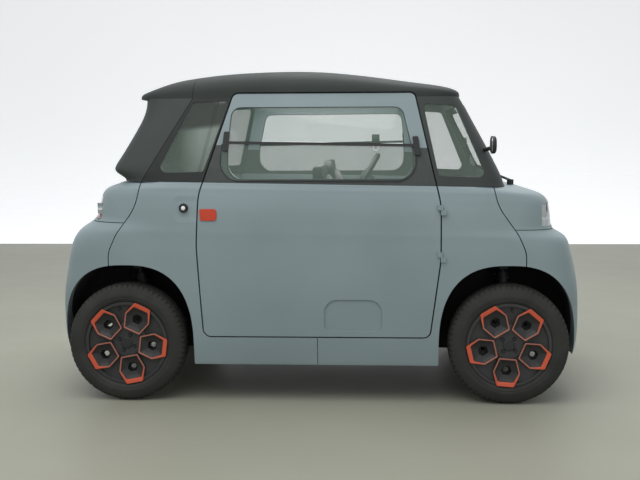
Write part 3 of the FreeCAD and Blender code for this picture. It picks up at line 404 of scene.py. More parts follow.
metal("cast_housing", (0.33, 0.34, 0.35), 0.45, 0.65, 0.9)
metal("battery_case", (0.07, 0.07, 0.075), 0.5, 0.65, 0.2)
# painted highlight: near-white, mostly diffuse steel makes the lock cores and the window catch's ring look
# bright as a glint would
metal("lock_steel_painted_glint", (0.86, 0.87, 0.88), 0.50, 0.62, 0.25)
metal("bolt_black", (0.028, 0.028, 0.030), 0.50, 0.65, 0.3)
metal("mirror_glass", (0.82, 0.84, 0.85), 0.02, 0.05)
metal("lamp_reflector", (0.62, 0.64, 0.65), 0.16, 0.26)
metal("spring_steel", (0.05, 0.05, 0.055), 0.35, 0.5, 0.4)
fabric("seat_fabric", (0.040, 0.043, 0.048))
fabric("strap_fabric", (0.50, 0.09, 0.03))
fabric("piping_fabric", (0.070, 0.073, 0.078))
glass("tinted_glass", (0.035, 0.038, 0.040), 0.82)
glass("windscreen_glass", GLASS_TINT, 0.18, screen_border(1.191, 0.452, 0.136, 0.18))
glass("rear_glass", (0.10, 0.11, 0.11), 0.45, screen_border(1.2025, 0.436, 0.104, 0.19))
glass("door_glass", GLASS_TINT, 0.19, flap_border, ((0.165, 0.225, 0.190), 0.12))
glass("lamp_clear", (0.74, 0.78, 0.78), 0.55)
glass("lamp_red", (0.50, 0.20, 0.19), 0.50)
quarter_glass()
door_plastic()
pillar_plastic()
roof_plastic()
lock_panel_plastic("lock_panel_right", -0.566)
lock_panel_plastic("lock_panel_left", 2 * DOOR_CENTRE_X + 0.566)
trim_plastic()
tyre_rubber()
studio_floor()
studio_wall()

# The CAD nodes that wear each material
DRESS = {
    "body_plastic": "front_bumper rear_bumper nose_panel tail_panel side_panel_front_right "
                    "side_panel_rear_left",
    "lock_panel_right": "side_panel_rear_right",
    "lock_panel_left": "side_panel_front_left",
    "door_plastic": "door_right door_left",
    "dark_plastic": "windscreen_frame",
    "pillar_plastic": "rear_frame",
    "roof_plastic": "roof_panel",
    "black_plastic": "mirrors wiper door_bar_right door_bar_left door_locks dashboard seat_driver "
                     "seat_passenger steering_wheel",
    "liner_felt": "wheel_liners",
    "quarter_glass": "quarter_glass",
    "windscreen_glass": "windscreen",
    "rear_glass": "rear_window",
    "tinted_glass": "roof_glass",
    "door_glass": "door_glass_right door_glass_left",
    "lamp_clear": "headlamps",
    "lamp_red": "tail_lamps",
    "orange_tag": "door_tag_right door_tag_left",
    "frame_steel": "chassis_frame front_suspension rear_axle knuckle_right knuckle_left",
    "cast_housing": "drive_unit",
    "battery_case": "battery_pack",
    "floor_plastic": "floor_tub",
    "rim_paint": " ".join(name + "_rim" for name in WHEELS),
}
for look, names in DRESS.items():
    for name in names.split():
        mesh = nodes[name].data
        mesh.materials.clear()
        mesh.materials.append(looks[look])
        for face in mesh.polygons:
            face.material_index = 0


# Mesh helpers: a shape is a pair of points and faces
def new_piece(name, shape):
    mesh = bpy.data.meshes.new(name)
    mesh.from_pydata([tuple(v) for v in shape[0]], [], shape[1])
    piece = bpy.data.objects.new(name, mesh)
    bpy.context.scene.collection.objects.link(piece)
    return piece


def shape_of(mesh):
    return [v.co.copy() for v in mesh.vertices], [tuple(face.vertices) for face in mesh.polygons]


def add_piece(name, shape, material, smooth=40.0, body="body"):
    piece = new_piece(name, shape)
    mesh = piece.data
    mesh.validate()
    mesh.update()
    made = bmesh.new()
    made.from_mesh(mesh)
    bmesh.ops.recalc_face_normals(made, faces=made.faces)
    made.to_mesh(mesh)
    made.free()
    mesh.materials.append(looks[material])
    for face in mesh.polygons:
        face.use_smooth = True
    if smooth:
        mesh.set_sharp_from_angle(angle=math.radians(smooth))
    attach(piece, body)
    return piece


def bridged(loops, capped=False, wrap=False):
    """Rings of points joined one to the next, and with wrap the last to the first."""
    count = len(loops[0])
    faces = []
    for i in range(len(loops) if wrap else len(loops) - 1):
        j = (i + 1) % len(loops)
        for k in range(count):
            m = (k + 1) % count
            faces.append((i * count + k, i * count + m, j * count + m, j * count + k))
    if capped:
        faces.append(tuple(reversed(range(count))))
        faces.append(tuple(range((len(loops) - 1) * count, len(loops) * count)))
    return [v for loop in loops for v in loop], faces


def joined(shapes):
    verts = []
    faces = []
    for more_verts, more_faces in shapes:
        start = len(verts)
        verts += more_verts
        faces += [tuple(start + i for i in face) for face in more_faces]
    return verts, faces


def around(angle, radius=1.0, y=0.0):
    """A point on a circle about the Y axis."""
    return Vector((radius * math.cos(angle), y, radius * math.sin(angle)))


def circle(centre, across, up, radius, segments):
    """Points of a circle in the plane of two directions."""
    angles = [2 * math.pi * k / segments for k in range(segments)]
    return [centre + across * radius * math.cos(a) + up * radius * math.sin(a) for a in angles]


def turned_part(centre, axis, across, up, profile, segments):
    """A solid turned about axis; the profile is a list of (radius, depth along axis)."""
    loops = [circle(centre + axis * depth, across, up, radius, segments) for radius, depth in profile]
    return bridged(loops, True)


def revolved(profile, segments):
    """A closed profile of (radius, y) turned about Y."""
    angles = [2 * math.pi * i / segments for i in range(segments)]
    return bridged([[around(a, r, y) for r, y in profile] for a in angles], wrap=True)


def tube(points, radius, closed=False, sides=8):
    """A tube along points, with a fixed twist."""
    count = len(points)
    loops = []
    for i, here in enumerate(points):
        before = points[i - 1] if (i > 0 or closed) else here
        after = points[(i + 1) % count] if (i < count - 1 or closed) else here
        along = (after - before).normalized()
        side = along.cross(UP)
        if side.length < 0.1:
            side = along.cross(ACROSS)
        side.normalize()
        loops.append(circle(here, side, side.cross(along), radius, sides))
    return bridged(loops, not closed, closed)


def arc(start, here, end, steps):
    """A soft corner at here, from start to end."""
    shares = [k / steps for k in range(steps + 1)]
    return [start * (1 - u) ** 2 + here * 2 * u * (1 - u) + end * u ** 2 for u in shares]


def rounded_loop(corners, cut, steps=3):
    """The corners with each one rounded by a short arc."""
    loop = []
    count = len(corners)
    for i, here in enumerate(corners):
        start = here + (corners[i - 1] - here).normalized() * cut
        end = here + (corners[(i + 1) % count] - here).normalized() * cut
        loop += arc(start, here, end, steps)
    return loop


# Tyres with tread, and the hexagonal cups of the wheels
GROOVES = ((-0.032, 0.0035), (0.0, 0.003), (0.032, 0.0035))
GROOVE_DEPTH = 0.006
SLIT_DEPTH = 0.0045
SHOULDER_NOTCH = 0.004
TREAD_HALF = TYRE_HALF - 0.026
TREAD_STEPS = 24
TREAD_PITCHES = 66
SHOULDER = [(0.004, 0.0065), (0.010, 0.011), (0.016, 0.020), (0.0205, 0.031)]
SIDEWALL = [(TYRE_HALF - inset, radius) for inset, radius in (
    (0.001, TYRE_R - 0.044), (0.0, TYRE_R - 0.052), (0.0008, TYRE_R - 0.060), (0.0018, TYRE_R - 0.0615),
    (0.0018, TYRE_R - 0.064), (0.0012, TYRE_R - 0.0655), (0.006, RIM_R + 0.0125), (0.010, RIM_R + 0.010),
    (0.0115, RIM_R + 0.0065), (0.0151, RIM_R + 0.0030), (0.0153, RIM_R + 0.0003))]


def tread_rows():
    """Rows across the tread: place, radius and whether a groove runs there."""
    edges = {round(-TREAD_HALF + 2 * TREAD_HALF * i / TREAD_STEPS, 5) for i in range(TREAD_STEPS + 1)}
    for centre, reach in GROOVES:
        edges |= {round(centre + offset, 5) for offset in (-reach - 0.0006, -reach, reach, reach + 0.0006)}
    rows = []
    for y in sorted(edges):
        in_groove = any(abs(y - centre) <= reach + 1e-6 for centre, reach in GROOVES)
        rows.append((y, TYRE_R - 0.0035 * (abs(y) / TREAD_HALF) ** 3, in_groove))
    return rows


def tyre_mesh():
    rows = tread_rows()
    turns = [i + share for i in range(TREAD_PITCHES) for share in (0.0, 0.025, 0.20, 0.225)]
    rings = []
    for index, turn in enumerate(turns):
        a = 2 * math.pi * turn / TREAD_PITCHES
        cut = index % 4 in (1, 2)
        half = [(TREAD_HALF + dy, TYRE_R - dr - (SHOULDER_NOTCH if cut and dy < 0.012 else 0.0))
                for dy, dr in SHOULDER]
        half += SIDEWALL
        ring = [(-y, r) for y, r in reversed(half)]
        for y, r, in_groove in rows:
            slit = cut and (abs(y) > 0.037 or 0.006 < abs(y) < 0.020)
            ring.append((y, r - (GROOVE_DEPTH if in_groove else (SLIT_DEPTH if slit else 0.0))))
        rings.append([around(a, r, y) for y, r in ring + half])
    return bridged(rings, wrap=True)


def hexagon(angle, inward, outward, across, y, limit=None):
    """A hexagon with a flat towards the rim, in the wheel's face."""
    c = around(angle)
    t = Vector((-math.sin(angle), 0, math.cos(angle)))
    flat = across * 0.32
    tip = across / 2
    corners = ((outward, flat), (outward, -flat), (0.0, -tip), (-inward, -flat), (-inward, flat), (0.0, tip))
    points = [c * (HEX_RADIUS + a) + t * b for a, b in corners]
    if limit:
        points = [p * min(1.0, limit / p.length) for p in points]
    return [p + Vector((0, y, 0)) for p in points]


def hex_ring(angle):
    y = RIM_HALF + 0.0004
    sizes = ((0.0648, 0.0648, 0.1218, 0.0), (0.0650, 0.0650, 0.1220, 0.0036),
             (0.0642, 0.0642, 0.1206, 0.0046), (0.0630, 0.0630, 0.1184, 0.0047),
             (0.0596, 0.0470, 0.1106, 0.0040), (0.0584, 0.0440, 0.1086, 0.0026),
             (0.0580, 0.0430, 0.1080, 0.0))
    loops = [rounded_loop(hexagon(angle, inward, outward, across, y + rise, 0.1916), HEX_CORNER)
             for inward, outward, across, rise in sizes]
    return bridged(loops + [loops[0]])


def hex_well(angle):
    """A cup from the hexagon in to a round hole, with a lip at its inner end."""
    mouth = rounded_loop(hexagon(angle, 0.0574, 0.0424, 0.1068, 0.0), HEX_CORNER)
    centre = around(angle) * (HEX_RADIUS - 0.0075)
    loops = [[v + ACROSS * (RIM_HALF - 0.0005) for v in mouth]]
    for share, depth in ((0.25, 0.006), (0.6, 0.011), (1.0, 0.0146), (1.0, 0.042)):
        ring = [v * (1 - share) + (centre + (v - centre).normalized() * 0.0232) * share for v in mouth]
        loops.append([v + ACROSS * (RIM_HALF - depth) for v in ring])
    loops.append([centre + (v - centre) * 0.52 + ACROSS * (RIM_HALF - 0.040) for v in ring])
    return bridged(loops)


def bolt(angle, reach, y, radius, height):
    """A hexagonal head; its corners are turned by 15 degrees."""
    centre = around(angle, reach, y)
    corners = [math.radians(60 * k + 15) for k in range(6)]
    levels = ((1.0, 0.0), (1.0, height * 0.8), (0.86, height))
    loops = [[centre + around(a, radius * scale, rise) for a in corners] for scale, rise in levels]
    return bridged(loops, True)


def build_wheel(name, x, side, first, tyre):
    """One wheel; first is the angle of its first hexagon in degrees."""
    def add(part, shape, material, smooth):
        verts = [Vector((x + v.x, side * (WHEEL_Y + v.y), AXLE_Z + v.z)) for v in shape[0]]
        return add_piece(name + part, (verts, shape[1]), material, smooth, name)

    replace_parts(add("_tread", tyre, "tyre_rubber", 28.0), name + "_tyre")
    angles = [math.radians(first + 72.0 * k) for k in range(5)]
    rings = add("_hex_rings", joined([hex_ring(a) for a in angles]), "orange_trim", 25.0)
    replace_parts(rings, name + "_trim")
    add("_wells", joined([hex_well(a) for a in angles]), "well_black", 30.0)
    face_y = RIM_HALF - 0.010
    parts = [bolt(math.radians(first + 90.0 * k), 0.038, face_y - 0.0048, 0.0078, 0.009) for k in range(4)]
    cap = ((0.0, 0.0002), (0.026, 0.0002), (0.027, 0.003), (0.024, 0.0052), (0.012, 0.006), (0.0, 0.0062))
    parts.append(revolved([(r, face_y + rise) for r, rise in cap], 40))
    add("_bolts", joined(parts), "bolt_black", 30.0)
    out = around(math.radians(first + 36.0))
    base = out * 0.166 + ACROSS * (RIM_HALF - 0.014)
    tip = base - out * 0.014 + ACROSS * 0.016
    add("_valve", tube([base, base.lerp(tip, 0.5), tip], 0.004), "rubber_seal", 40.0)


tyre = tyre_mesh()
for name, (x, side, first) in WHEELS.items():
    build_wheel(name, x, side, first, tyre)


# Surfaces of the CAD nodes, for pieces that lie on them
class Surface:
    def __init__(self, *names):
        self.tree = BVHTree.FromPolygons(*joined([shape_of(nodes[name].data) for name in names]))

    def hit(self, start, direction):
        return self.tree.ray_cast(Vector(start), Vector(direction))[0]

    def from_side(self, x, z, side):
        return self.hit((x, side * 1.5, z), (0, -side, 0))

    def from_end(self, y, z, sign):
        return self.hit((sign * 2.0, y, z), (-sign, 0, 0))


def seal_loop(corners, steps=5):
    """Rounded outline in the side view: corners are (x, z, radius) in metres."""
    loop = []
    count = len(corners)
    for i, (x, z, r) in enumerate(corners):
        here = Vector((x, z))
        before = Vector(corners[i - 1][:2]) - here
        after = Vector(corners[(i + 1) % count][:2]) - here
        half = before.normalized().angle(after.normalized()) / 2
        back = min(r / math.tan(half), before.length * 0.48, after.length * 0.48)
        start = here + before.normalized() * back
        end = here + after.normalized() * back
        loop += arc(start, here, end, steps)
    dense = []
    for i, spot in enumerate(loop):
        following = loop[(i + 1) % len(loop)]
        pieces = max(1, int((following - spot).length / 0.04))
        dense += [spot.lerp(following, k / pieces) for k in range(pieces)]
    return dense


def widened(loop, reach):
    """A closed outline in the side view, moved outwards by reach."""
    area = sum(a.x * b.y - b.x * a.y for a, b in zip(loop, loop[1:] + loop[:1]))
    sign = 1 if area > 0 else -1
    moved = []
    for i, here in enumerate(loop):
        along = (loop[(i + 1) % len(loop)] - loop[i - 1]).normalized()
        moved.append(here + Vector((along.y, -along.x)) * reach * sign)
    return moved


# Outlines: (x, z, radius) from the side, and (y, z, radius) for the screens
DOOR = [(-0.505, 0.309, 0.034), (0.513, 0.309, 0.030), (0.560, 0.660, 0.420), (0.560, 0.905, 0.330),
        (0.445, 1.402, 0.026), (-0.370, 1.404, 0.030), (-0.521, 0.950, 0.260), (-0.531, 0.720, 0.500)]
WINDOW = [(-0.378, 1.343, 0.046), (-0.396, 1.170, 0.30), (-0.392, 1.017, 0.080), (0.440, 1.017, 0.080),
          (0.440, 1.140, 0.240), (0.392, 1.341, 0.046)]
SCREEN = [(-0.520, 1.030, 0.060), (0.520, 1.030, 0.060), (0.462, 1.352, 0.050), (-0.462, 1.352, 0.050)]
REAR_SCREEN = [(-0.500, 1.075, 0.050), (0.500, 1.075, 0.050), (0.452, 1.330, 0.044), (-0.452, 1.330, 0.044)]


def quarters(rear_low, rear_high, front_high):
    """Outlines of the rear and front quarter windows, by their edges beside the door."""
    rear = [(-0.720, 1.050, 0.030), (rear_low, 1.053, 0.016), (rear_high, 1.372, 0.016),
            (-0.556, 1.368, 0.024)]
    return rear, [(0.553, 1.032, 0.014), (0.768, 1.022, 0.026), (0.632, 1.345, 0.024),
                  (front_high, 1.356, 0.016)]


QUARTERS = {"right": quarters(-0.505, -0.390, 0.484), "left": quarters(-0.520, -0.440, 0.456)}


def on_side(corners, side):
    """An outline of the right door, turned half round for the left one."""
    return corners if side < 0 else [(2 * DOOR_CENTRE_X - x, z, r) for x, z, r in corners]


def seal_on(surface, corners, side, radius, sink):
    hits = [surface.from_side(spot.x, spot.y, side) for spot in seal_loop(corners)]
    return tube([hit - ACROSS * side * sink for hit in hits if hit is not None], radius, True)


def screen_seal(node, corners, sign):
    """A seal on a screen's glass, 4 mm inside its edge."""
    surface = Surface(node)
    hits = [surface.from_end(spot.x, spot.y, sign) for spot in widened(seal_loop(corners), -0.004)]
    return tube([hit for hit in hits if hit is not None], 0.0036, True)


def door_strip(surface, corners, side):
    """Dark rubber in the gap round a door, fixed to the body."""
    loop = seal_loop(corners, 9)
    points = []
    last = None
    for spot, outer in zip(widened(loop, 0.003), widened(loop, 0.009)):
        hit = surface.from_side(outer.x, outer.y, side)
        depth = hit.y if hit is not None and abs(hit.y) > 0.50 else last
        if depth is None:
            continue
        last = depth
        points.append(Vector((spot.x, depth - side * 0.016, spot.y)))
    return tube(points, 0.0028, True)


def build_seals():
    skin = Surface("windscreen_frame", "rear_frame", "roof_panel", *SIDE_PANELS)
    quarter_panes = Surface("quarter_glass")
    for name, side in SIDES:
        parts = [seal_on(quarter_panes, corners, side, 0.0035, 0.0) for corners in QUARTERS[name]]
        add_piece("quarter_seals_" + name, joined(parts), "rubber_seal", 50.0)
        strip = door_strip(skin, on_side(DOOR, side), side)
        add_piece("door_strip_" + name, strip, "rubber_seal", 50.0)
        panes = Surface("door_" + name, "door_glass_" + name)
        window = seal_on(panes, on_side(WINDOW, side), side, 0.0032, 0.0065)
        add_piece("window_seal_" + name, window, "rubber_seal", 50.0, "door_" + name)
    screens = [screen_seal("windscreen", SCREEN, 1), screen_seal("rear_window", REAR_SCREEN, -1)]
    add_piece("screen_seals", joined(screens), "rubber_seal", 50.0)


build_seals()


# Lamps: reflector bowls and rings behind the covers
LAMP_Z = 0.872
LAMP_RING = ((0.0330, 0.0), (0.0335, 0.0095), (0.0290, 0.0105), (0.0265, 0.0030))
LAMP_CORE = ((0.0262, 0.0), (0.0262, 0.0040), (0.0200, 0.0075), (0.0110, 0.0095))


def lamp_bowl(surface, sign, side, inner_y, outer_y, half_z):
    columns, rows = 16, 10
    width = columns + 1
    verts = []
    for j, i in product(range(rows + 1), range(width)):
        v = 2 * j / rows - 1
        u = 2 * i / columns - 1
        y = side * (inner_y + (outer_y - inner_y) * (u + 1) / 2)
        z = LAMP_Z + half_z * v
        hit = surface.from_end(y, z, sign)
        face_x = sign * hit.x if hit is not None else 1.012
        depth = 0.0075 + 0.0145 * (1 - abs(u) ** 6) * (1 - abs(v) ** 4)
        verts.append(Vector((sign * (face_x - depth), y, z)))
    corners = [j * width + i for j in range(rows) for i in range(columns)]
    faces = [(a, a + 1, a + width + 1, a + width) for a in corners]
    count = len(verts)
    verts += [v - Vector((sign * 0.0012, 0, 0)) for v in verts]
    faces += [tuple(count + k for k in reversed(face)) for face in faces]
    return verts, faces


def build_lamps():
    for name, sign, core_material in (("headlamp", 1, "lamp_core"), ("tail_lamp", -1, "lamp_red_core")):
        surface = Surface(name + "s")
        bowls = []
        rings = []
        cores = []
        for side in (-1, 1):
            bowls.append(lamp_bowl(surface, sign, side, 0.409, 0.604, 0.040))
            for y in (0.452, 0.535):
                hit = surface.from_end(side * y, LAMP_Z, sign)
                base = Vector((hit.x - sign * 0.0210, side * y, LAMP_Z))
                for parts, profile in ((rings, LAMP_RING), (cores, LAMP_CORE)):
                    parts.append(turned_part(base, FORWARD * sign, ACROSS, UP, profile, 36))
        add_piece(name + "_bowls", joined(bowls), "lamp_reflector", 50.0)
        add_piece(name + "_rings", joined(rings), "black_plastic")
        add_piece(name + "_cores", joined(cores), core_material)


build_lamps()


# Small outside parts
LOCK_X, LOCK_Z = -0.589, 0.893
LOCK_RING = ((0.0185, -0.003), (0.0190, 0.0016), (0.0170, 0.0030), (0.0125, 0.0022), (0.0110, -0.0005))
LOCK_CORE = ((0.0095, -0.003), (0.0095, 0.0012), (0.0080, 0.0022), (0.0020, 0.0025))
MIRROR_Y, MIRROR_Z = 0.742, 1.168


def build_locks():
    surface = Surface("door_locks")
    rings = []
    cores = []
    for x, side in ((LOCK_X, -1), (2 * DOOR_CENTRE_X - LOCK_X, 1)):
        rim = Vector((x, surface.from_side(x + 0.0185, LOCK_Z, side).y, LOCK_Z))
        rings.append(turned_part(rim, ACROSS * side, FORWARD, UP, LOCK_RING, 32))
        cores.append(turned_part(rim, ACROSS * side, FORWARD, UP, LOCK_CORE, 32))
    add_piece("lock_rings", joined(rings), "rubber_seal")
    add_piece("lock_cores", joined(cores), "lock_steel_painted_glint")


def plate(centre, half_y, half_z, radius, x_near, x_far, steps=5):
    """A rounded plate across the car, between two distances along X."""
    middle = Vector((0, *centre))
    corners = [middle + Vector((0, a * half_y, b * half_z)) for a, b in ((-1, -1), (1, -1), (1, 1), (-1, 1))]
    edge = rounded_loop(corners, radius, steps)
    loops = []
    for x, inset in ((x_near, 0.0), (x_near + (x_far - x_near) * 0.7, 0.0), (x_far, 0.0008)):
        loops.append([p - (p - middle).normalized() * inset + FORWARD * x for p in edge])
    return bridged(loops, True)


def build_mirrors():
    surface = Surface("mirrors")
    glasses = []
    for side in (-1, 1):
        back = surface.hit((0.60, side * MIRROR_Y, MIRROR_Z), FORWARD).x
        spot = (side * MIRROR_Y, MIRROR_Z)
        glasses.append(plate(spot, 0.0485, 0.0325, 0.030, back - 0.0002, back - 0.0022))
    add_piece("mirror_glasses", joined(glasses), "mirror_glass", 35.0)


def build_wiper():
    surface = Surface("windscreen", "windscreen_frame")
    hits = [surface.from_end(-0.185 + 0.500 * k / 14, 1.016 + 0.022 * k / 14, 1) for k in range(15)]
    points = [hit + Vector((0.0035, 0, 0.001)) for hit in hits if hit is not None]
    add_piece("wiper_rubber", tube(points, 0.0022, False, 6), "rubber_seal", 50.0)


build_locks()
build_mirrors()
build_wiper()


# Seats: padded covers on the moulded shells
CUSHION_HALF = 0.188
THICK_BACK, THICK_BASE = 0.036, 0.046


def on_line(a, b, at):
    return a[1] + (b[1] - a[1]) * (at - a[0]) / (b[0] - a[0])


def cushion(middle, along, normal, thick):
    """A crowned cushion, before it is puffed up and sewn, and its upper edge."""
    columns, rows = 40, 44
    verts = []
    width = columns + 1
    for upper, j, i in product((False, True), range(rows + 1), range(width)):
        b = 2 * j / rows - 1
        a = 2 * i / columns - 1
        u = a * math.sqrt(1 - 0.16 * b ** 6) * (1 - 0.014 * (1 - b * b))
        v = b * math.sqrt(1 - 0.16 * a ** 6) * (1 - 0.012 * (1 - a * a))
        dome = (1 - abs(a) ** 5) ** 0.55 * (1 - abs(b) ** 5) ** 0.55
        rise = thick * (0.34 + 0.50 * dome + 0.04 * dome * math.cos(1.3 * a) * math.cos(1.2 * b))
        if not upper:
            rise = 0.0012
            u *= 0.985
            v *= 0.985
        spot = middle + along * v + normal * rise
        verts.append(Vector((spot.x, middle.y + CUSHION_HALF * u, spot.z)))
    layer_size = width * (rows + 1)
    faces = []
    for j, i in product(range(rows), range(columns)):
        k = j * width + i
        faces.append((k, k + width, k + width + 1, k + 1))
        k += layer_size
        faces.append((k, k + 1, k + width + 1, k + width))
    rim = list(range(width)) + [j * width + columns for j in range(1, rows + 1)]
    rim += [rows * width + i for i in range(columns - 1, -1, -1)]
    rim += [j * width for j in range(rows - 1, 0, -1)]
    for here, after in zip(rim, rim[1:] + rim[:1]):
        faces.append((here, after, after + layer_size, here + layer_size))
    return verts, faces, [verts[k + layer_size] for k in rim]


def settled(piece):
    """The shape of a work piece with its modifiers; the piece is removed."""
    evaluated = piece.evaluated_get(bpy.context.evaluated_depsgraph_get())
    mesh = evaluated.to_mesh()
    shape = shape_of(mesh)
    evaluated.to_mesh_clear()
    source = piece.data
    bpy.data.objects.remove(piece)
    bpy.data.meshes.remove(source)
    return shape


def with_modifier(shape, kind, **settings):
    piece = new_piece("work", shape)
    put(piece.modifiers.new("work", kind), settings)
    return settled(piece)


def puffed(verts, faces, middle, normal, thick):
    """The cushion blown up by cloth pressure, held at its base, with capped moves."""
    verts, faces = with_modifier((verts, faces), "REMESH", mode="VOXEL", voxel_size=0.006)
    piece = new_piece("work", (verts, faces))
    held = piece.vertex_groups.new(name="held")
    held.add([i for i, v in enumerate(verts) if (v - middle).dot(normal) < 0.006], 1.0, "ADD")
    cloth = piece.modifiers.new("cloth", "CLOTH")
    put(cloth.settings, {"vertex_group_mass": "held", "use_pressure": True, "uniform_pressure_force": 4.0,
                         "quality": 5, "mass": 0.15, "tension_stiffness": 25.0, "compression_stiffness": 15.0,
                         "bending_stiffness": 1.5})
    cloth.settings.effector_weights.gravity = 0.0
    cloth.collision_settings.use_collision = False
    cloth.collision_settings.use_self_collision = False
    put(cloth.point_cache, {"frame_start": 1, "frame_end": 20})
    for frame_number in range(1, 21):
        bpy.context.scene.frame_set(frame_number)
    moved, _ = settled(piece)
    bpy.context.scene.frame_set(1)
    cap = 0.008
    result = []
    for rest, now in zip(verts, moved):
        move = now - rest
        if move.length > cap:
            move *= cap / move.length
        spot = rest + move
        rise = (spot - middle).dot(normal)
        result.append(spot - normal * (max(0.0, rise - thick) + min(0.0, rise - 0.0006)))
    return with_modifier((result, faces), "SUBSURF", levels=1, render_levels=1)


def sewn(verts, middle, along, normal, thick, channels):
    """Presses the sewn channels into the cushion's face."""
    length = along.length
    result = []
    for v in verts:
        away = v - middle
        a = away.y / CUSHION_HALF
        b = away.dot(along) / length ** 2
        weight = max(0.0, min(1.0, away.dot(normal) / thick - 0.35)) * 1.6
        if abs(b) > 0.86 or abs(a) > 0.93:
            weight *= 0.0 if abs(b) > 0.93 or abs(a) > 0.98 else 0.5
        press = 0.0
        for kind, place in channels:
            reach = (abs(a) - place) * CUSHION_HALF if kind == "long" else (b - place) * length
            press = max(press, math.exp(-(reach / 0.0048) ** 2))
        result.append(v - normal * (0.0080 * press * min(1.0, weight)))
    return result


def build_cushion(name, part, start, end, normal, thick, channels):
    """A pad between two points on a seat shell, with piping along its edge."""
    middle = (start + end) / 2
    along = (end - start) / 2
    verts, faces, edge = cushion(middle, along, normal, thick)
    verts, faces = puffed(verts, faces, middle, normal, thick)
    verts = sewn(verts, middle, along, normal, thick, channels)
    piece = add_piece(f"seat_{part}_pad_{name}", (verts, faces), "seat_fabric", 0.0)
    if part == "back" and name == "passenger":
        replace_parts(piece, "seat_pads")
    skin = BVHTree.FromPolygons(*shape_of(piece.data))
    piping = tube([skin.find_nearest(p)[0] for p in edge], 0.0026, True, 6)
    add_piece(f"seat_{part}_piping_{name}", piping, "piping_fabric", 60.0)


def build_seats():
    lean = math.tan(math.radians(4.0))
    for name, y, top_x, top_z in (("passenger", -0.290, 0.008, 1.075), ("driver", 0.290, 0.022, 1.087)):
        base_x = top_x + (top_z - 0.560) * lean
        front_x = base_x + 0.400
        back_low, back_high = (0.570, base_x + 0.034), (top_z, top_x + 0.014)
        low, high = [Vector((on_line(back_low, back_high, z) + 0.0005, y, z)) for z in (0.622, top_z - 0.048)]
        build_cushion(name, "back", low, high, Vector((1, 0, lean)).normalized(), THICK_BACK,
                      (("long", 0.60), ("cross", -0.42), ("cross", 0.0), ("cross", 0.42)))
        pan_rear, pan_front = (base_x + 0.020, 0.540), (front_x + 0.006, 0.554)
        rear, front = [Vector((x, y, on_line(pan_rear, pan_front, x) + 0.0005))
                       for x in (base_x + 0.056, front_x - 0.018)]
        build_cushion(name, "base", rear, front, Vector((-0.035, 0, 1)).normalized(), THICK_BASE,
                      (("long", 0.60), ("cross", -0.30), ("cross", 0.30)))


build_seats()


# Inside: dash, wheel hub, pedals, straps and the catch in the far window
DRIVER_Y = 0.300
WHEEL_TILT = math.radians(30)


def rounded_block(low, high, radius):
    """A block with its four upright edges rounded and its top edge eased."""
    x0, y0, z0 = low
    x1, y1, z1 = high
    corners = [Vector((x, y, 0)) for x, y in ((x0, y0), (x1, y0), (x1, y1), (x0, y1))]
    ease = min(radius, (z1 - z0) / 2) * 0.6
    middle = Vector(((x0 + x1) / 2, (y0 + y1) / 2, 0))
    levels = ((z0, ease * 0.5), (z0 + ease * 0.5, 0.0), (z1 - ease, 0.0), (z1 - ease * 0.3, ease * 0.3),
              (z1, ease))
    loops = [[p - (p - middle).normalized() * inset + UP * z for p in rounded_loop(corners, radius)]
             for z, inset in levels]
    return bridged(loops, True)


def plates_on_dash(dash, spots, half_y, half_z, radius, far, steps):
    """Small plates that stand out of the dashboard at (y, z) spots."""
    plates = []
    for y, z in spots:
        hit = dash.hit((0.20, y, z), FORWARD)
        if hit is not None:
            plates.append(plate((y, z), half_y, half_z, radius, hit.x - 0.0002, hit.x - far, steps))
    return joined(plates)


def build_dash():
    dash = Surface("dashboard")
    face = dash.hit((0.30, DRIVER_Y, 0.965), FORWARD).x
    display = plate((DRIVER_Y, 0.966), 0.079, 0.030, 0.006, face - 0.0002, face - 0.0020)
    add_piece("display_glass", display, "display_black", 30.0)
    spots = [(y, 0.872) for y in (-0.045, -0.015, 0.015, 0.045)]
    keys = plates_on_dash(dash, spots, 0.0115, 0.0085, 0.003, 0.0042, 3)
    add_piece("dash_keys", keys, "dark_plastic", 30.0)
    spots = [(y, 0.850 + 0.012 * k) for y in (-0.560, 0.545) for k in range(5)]
    vents = plates_on_dash(dash, spots, 0.044, 0.0036, 0.002, 0.0030, 2)
    add_piece("dash_vents", vents, "rubber_seal", 30.0)


def build_controls():
    axis = Vector((math.cos(WHEEL_TILT), 0, -math.sin(WHEEL_TILT)))
    up = Vector((math.sin(WHEEL_TILT), 0, math.cos(WHEEL_TILT)))
    profile = ((0.050, -0.0135), (0.052, -0.018), (0.049, -0.023), (0.036, -0.0265), (0.018, -0.0280),
               (0.004, -0.0282))
    pad = turned_part(Vector((0.205, DRIVER_Y, 0.983)), axis, ACROSS, up, profile, 36)
    add_piece("steering_pad", pad, "dark_plastic", body="steering_wheel")
    pads = []
    arms = []
    for y, z, half in ((0.235, 0.400, 0.030), (0.345, 0.395, 0.024)):
        top = Vector((0.527, y, z + 0.200))
        foot = Vector((0.452, y, z))
        arms.append(tube([top, top.lerp(foot, 0.35) - FORWARD * 0.012, foot], 0.007))
        pads.append(plate((y, z), half, 0.040, 0.008, 0.450, 0.440, 3))
    add_piece("pedal_arms", joined(arms), "frame_steel")
    add_piece("pedal_pads", joined(pads), "rubber_seal", 30.0)
    lever = [Vector((x, 0, z)) for x, z in ((-0.10, 0.272), (-0.085, 0.360), (-0.02, 0.452), (0.035, 0.486))]
    add_piece("brake_lever", tube(lever, 0.0085), "frame_steel")
    grip = [Vector((x, 0, z)) for x, z in ((-0.03, 0.446), (0.0, 0.466), (0.042, 0.490), (0.046, 0.492))]
    add_piece("brake_lever_grip", tube(grip, 0.0150), "black_plastic")


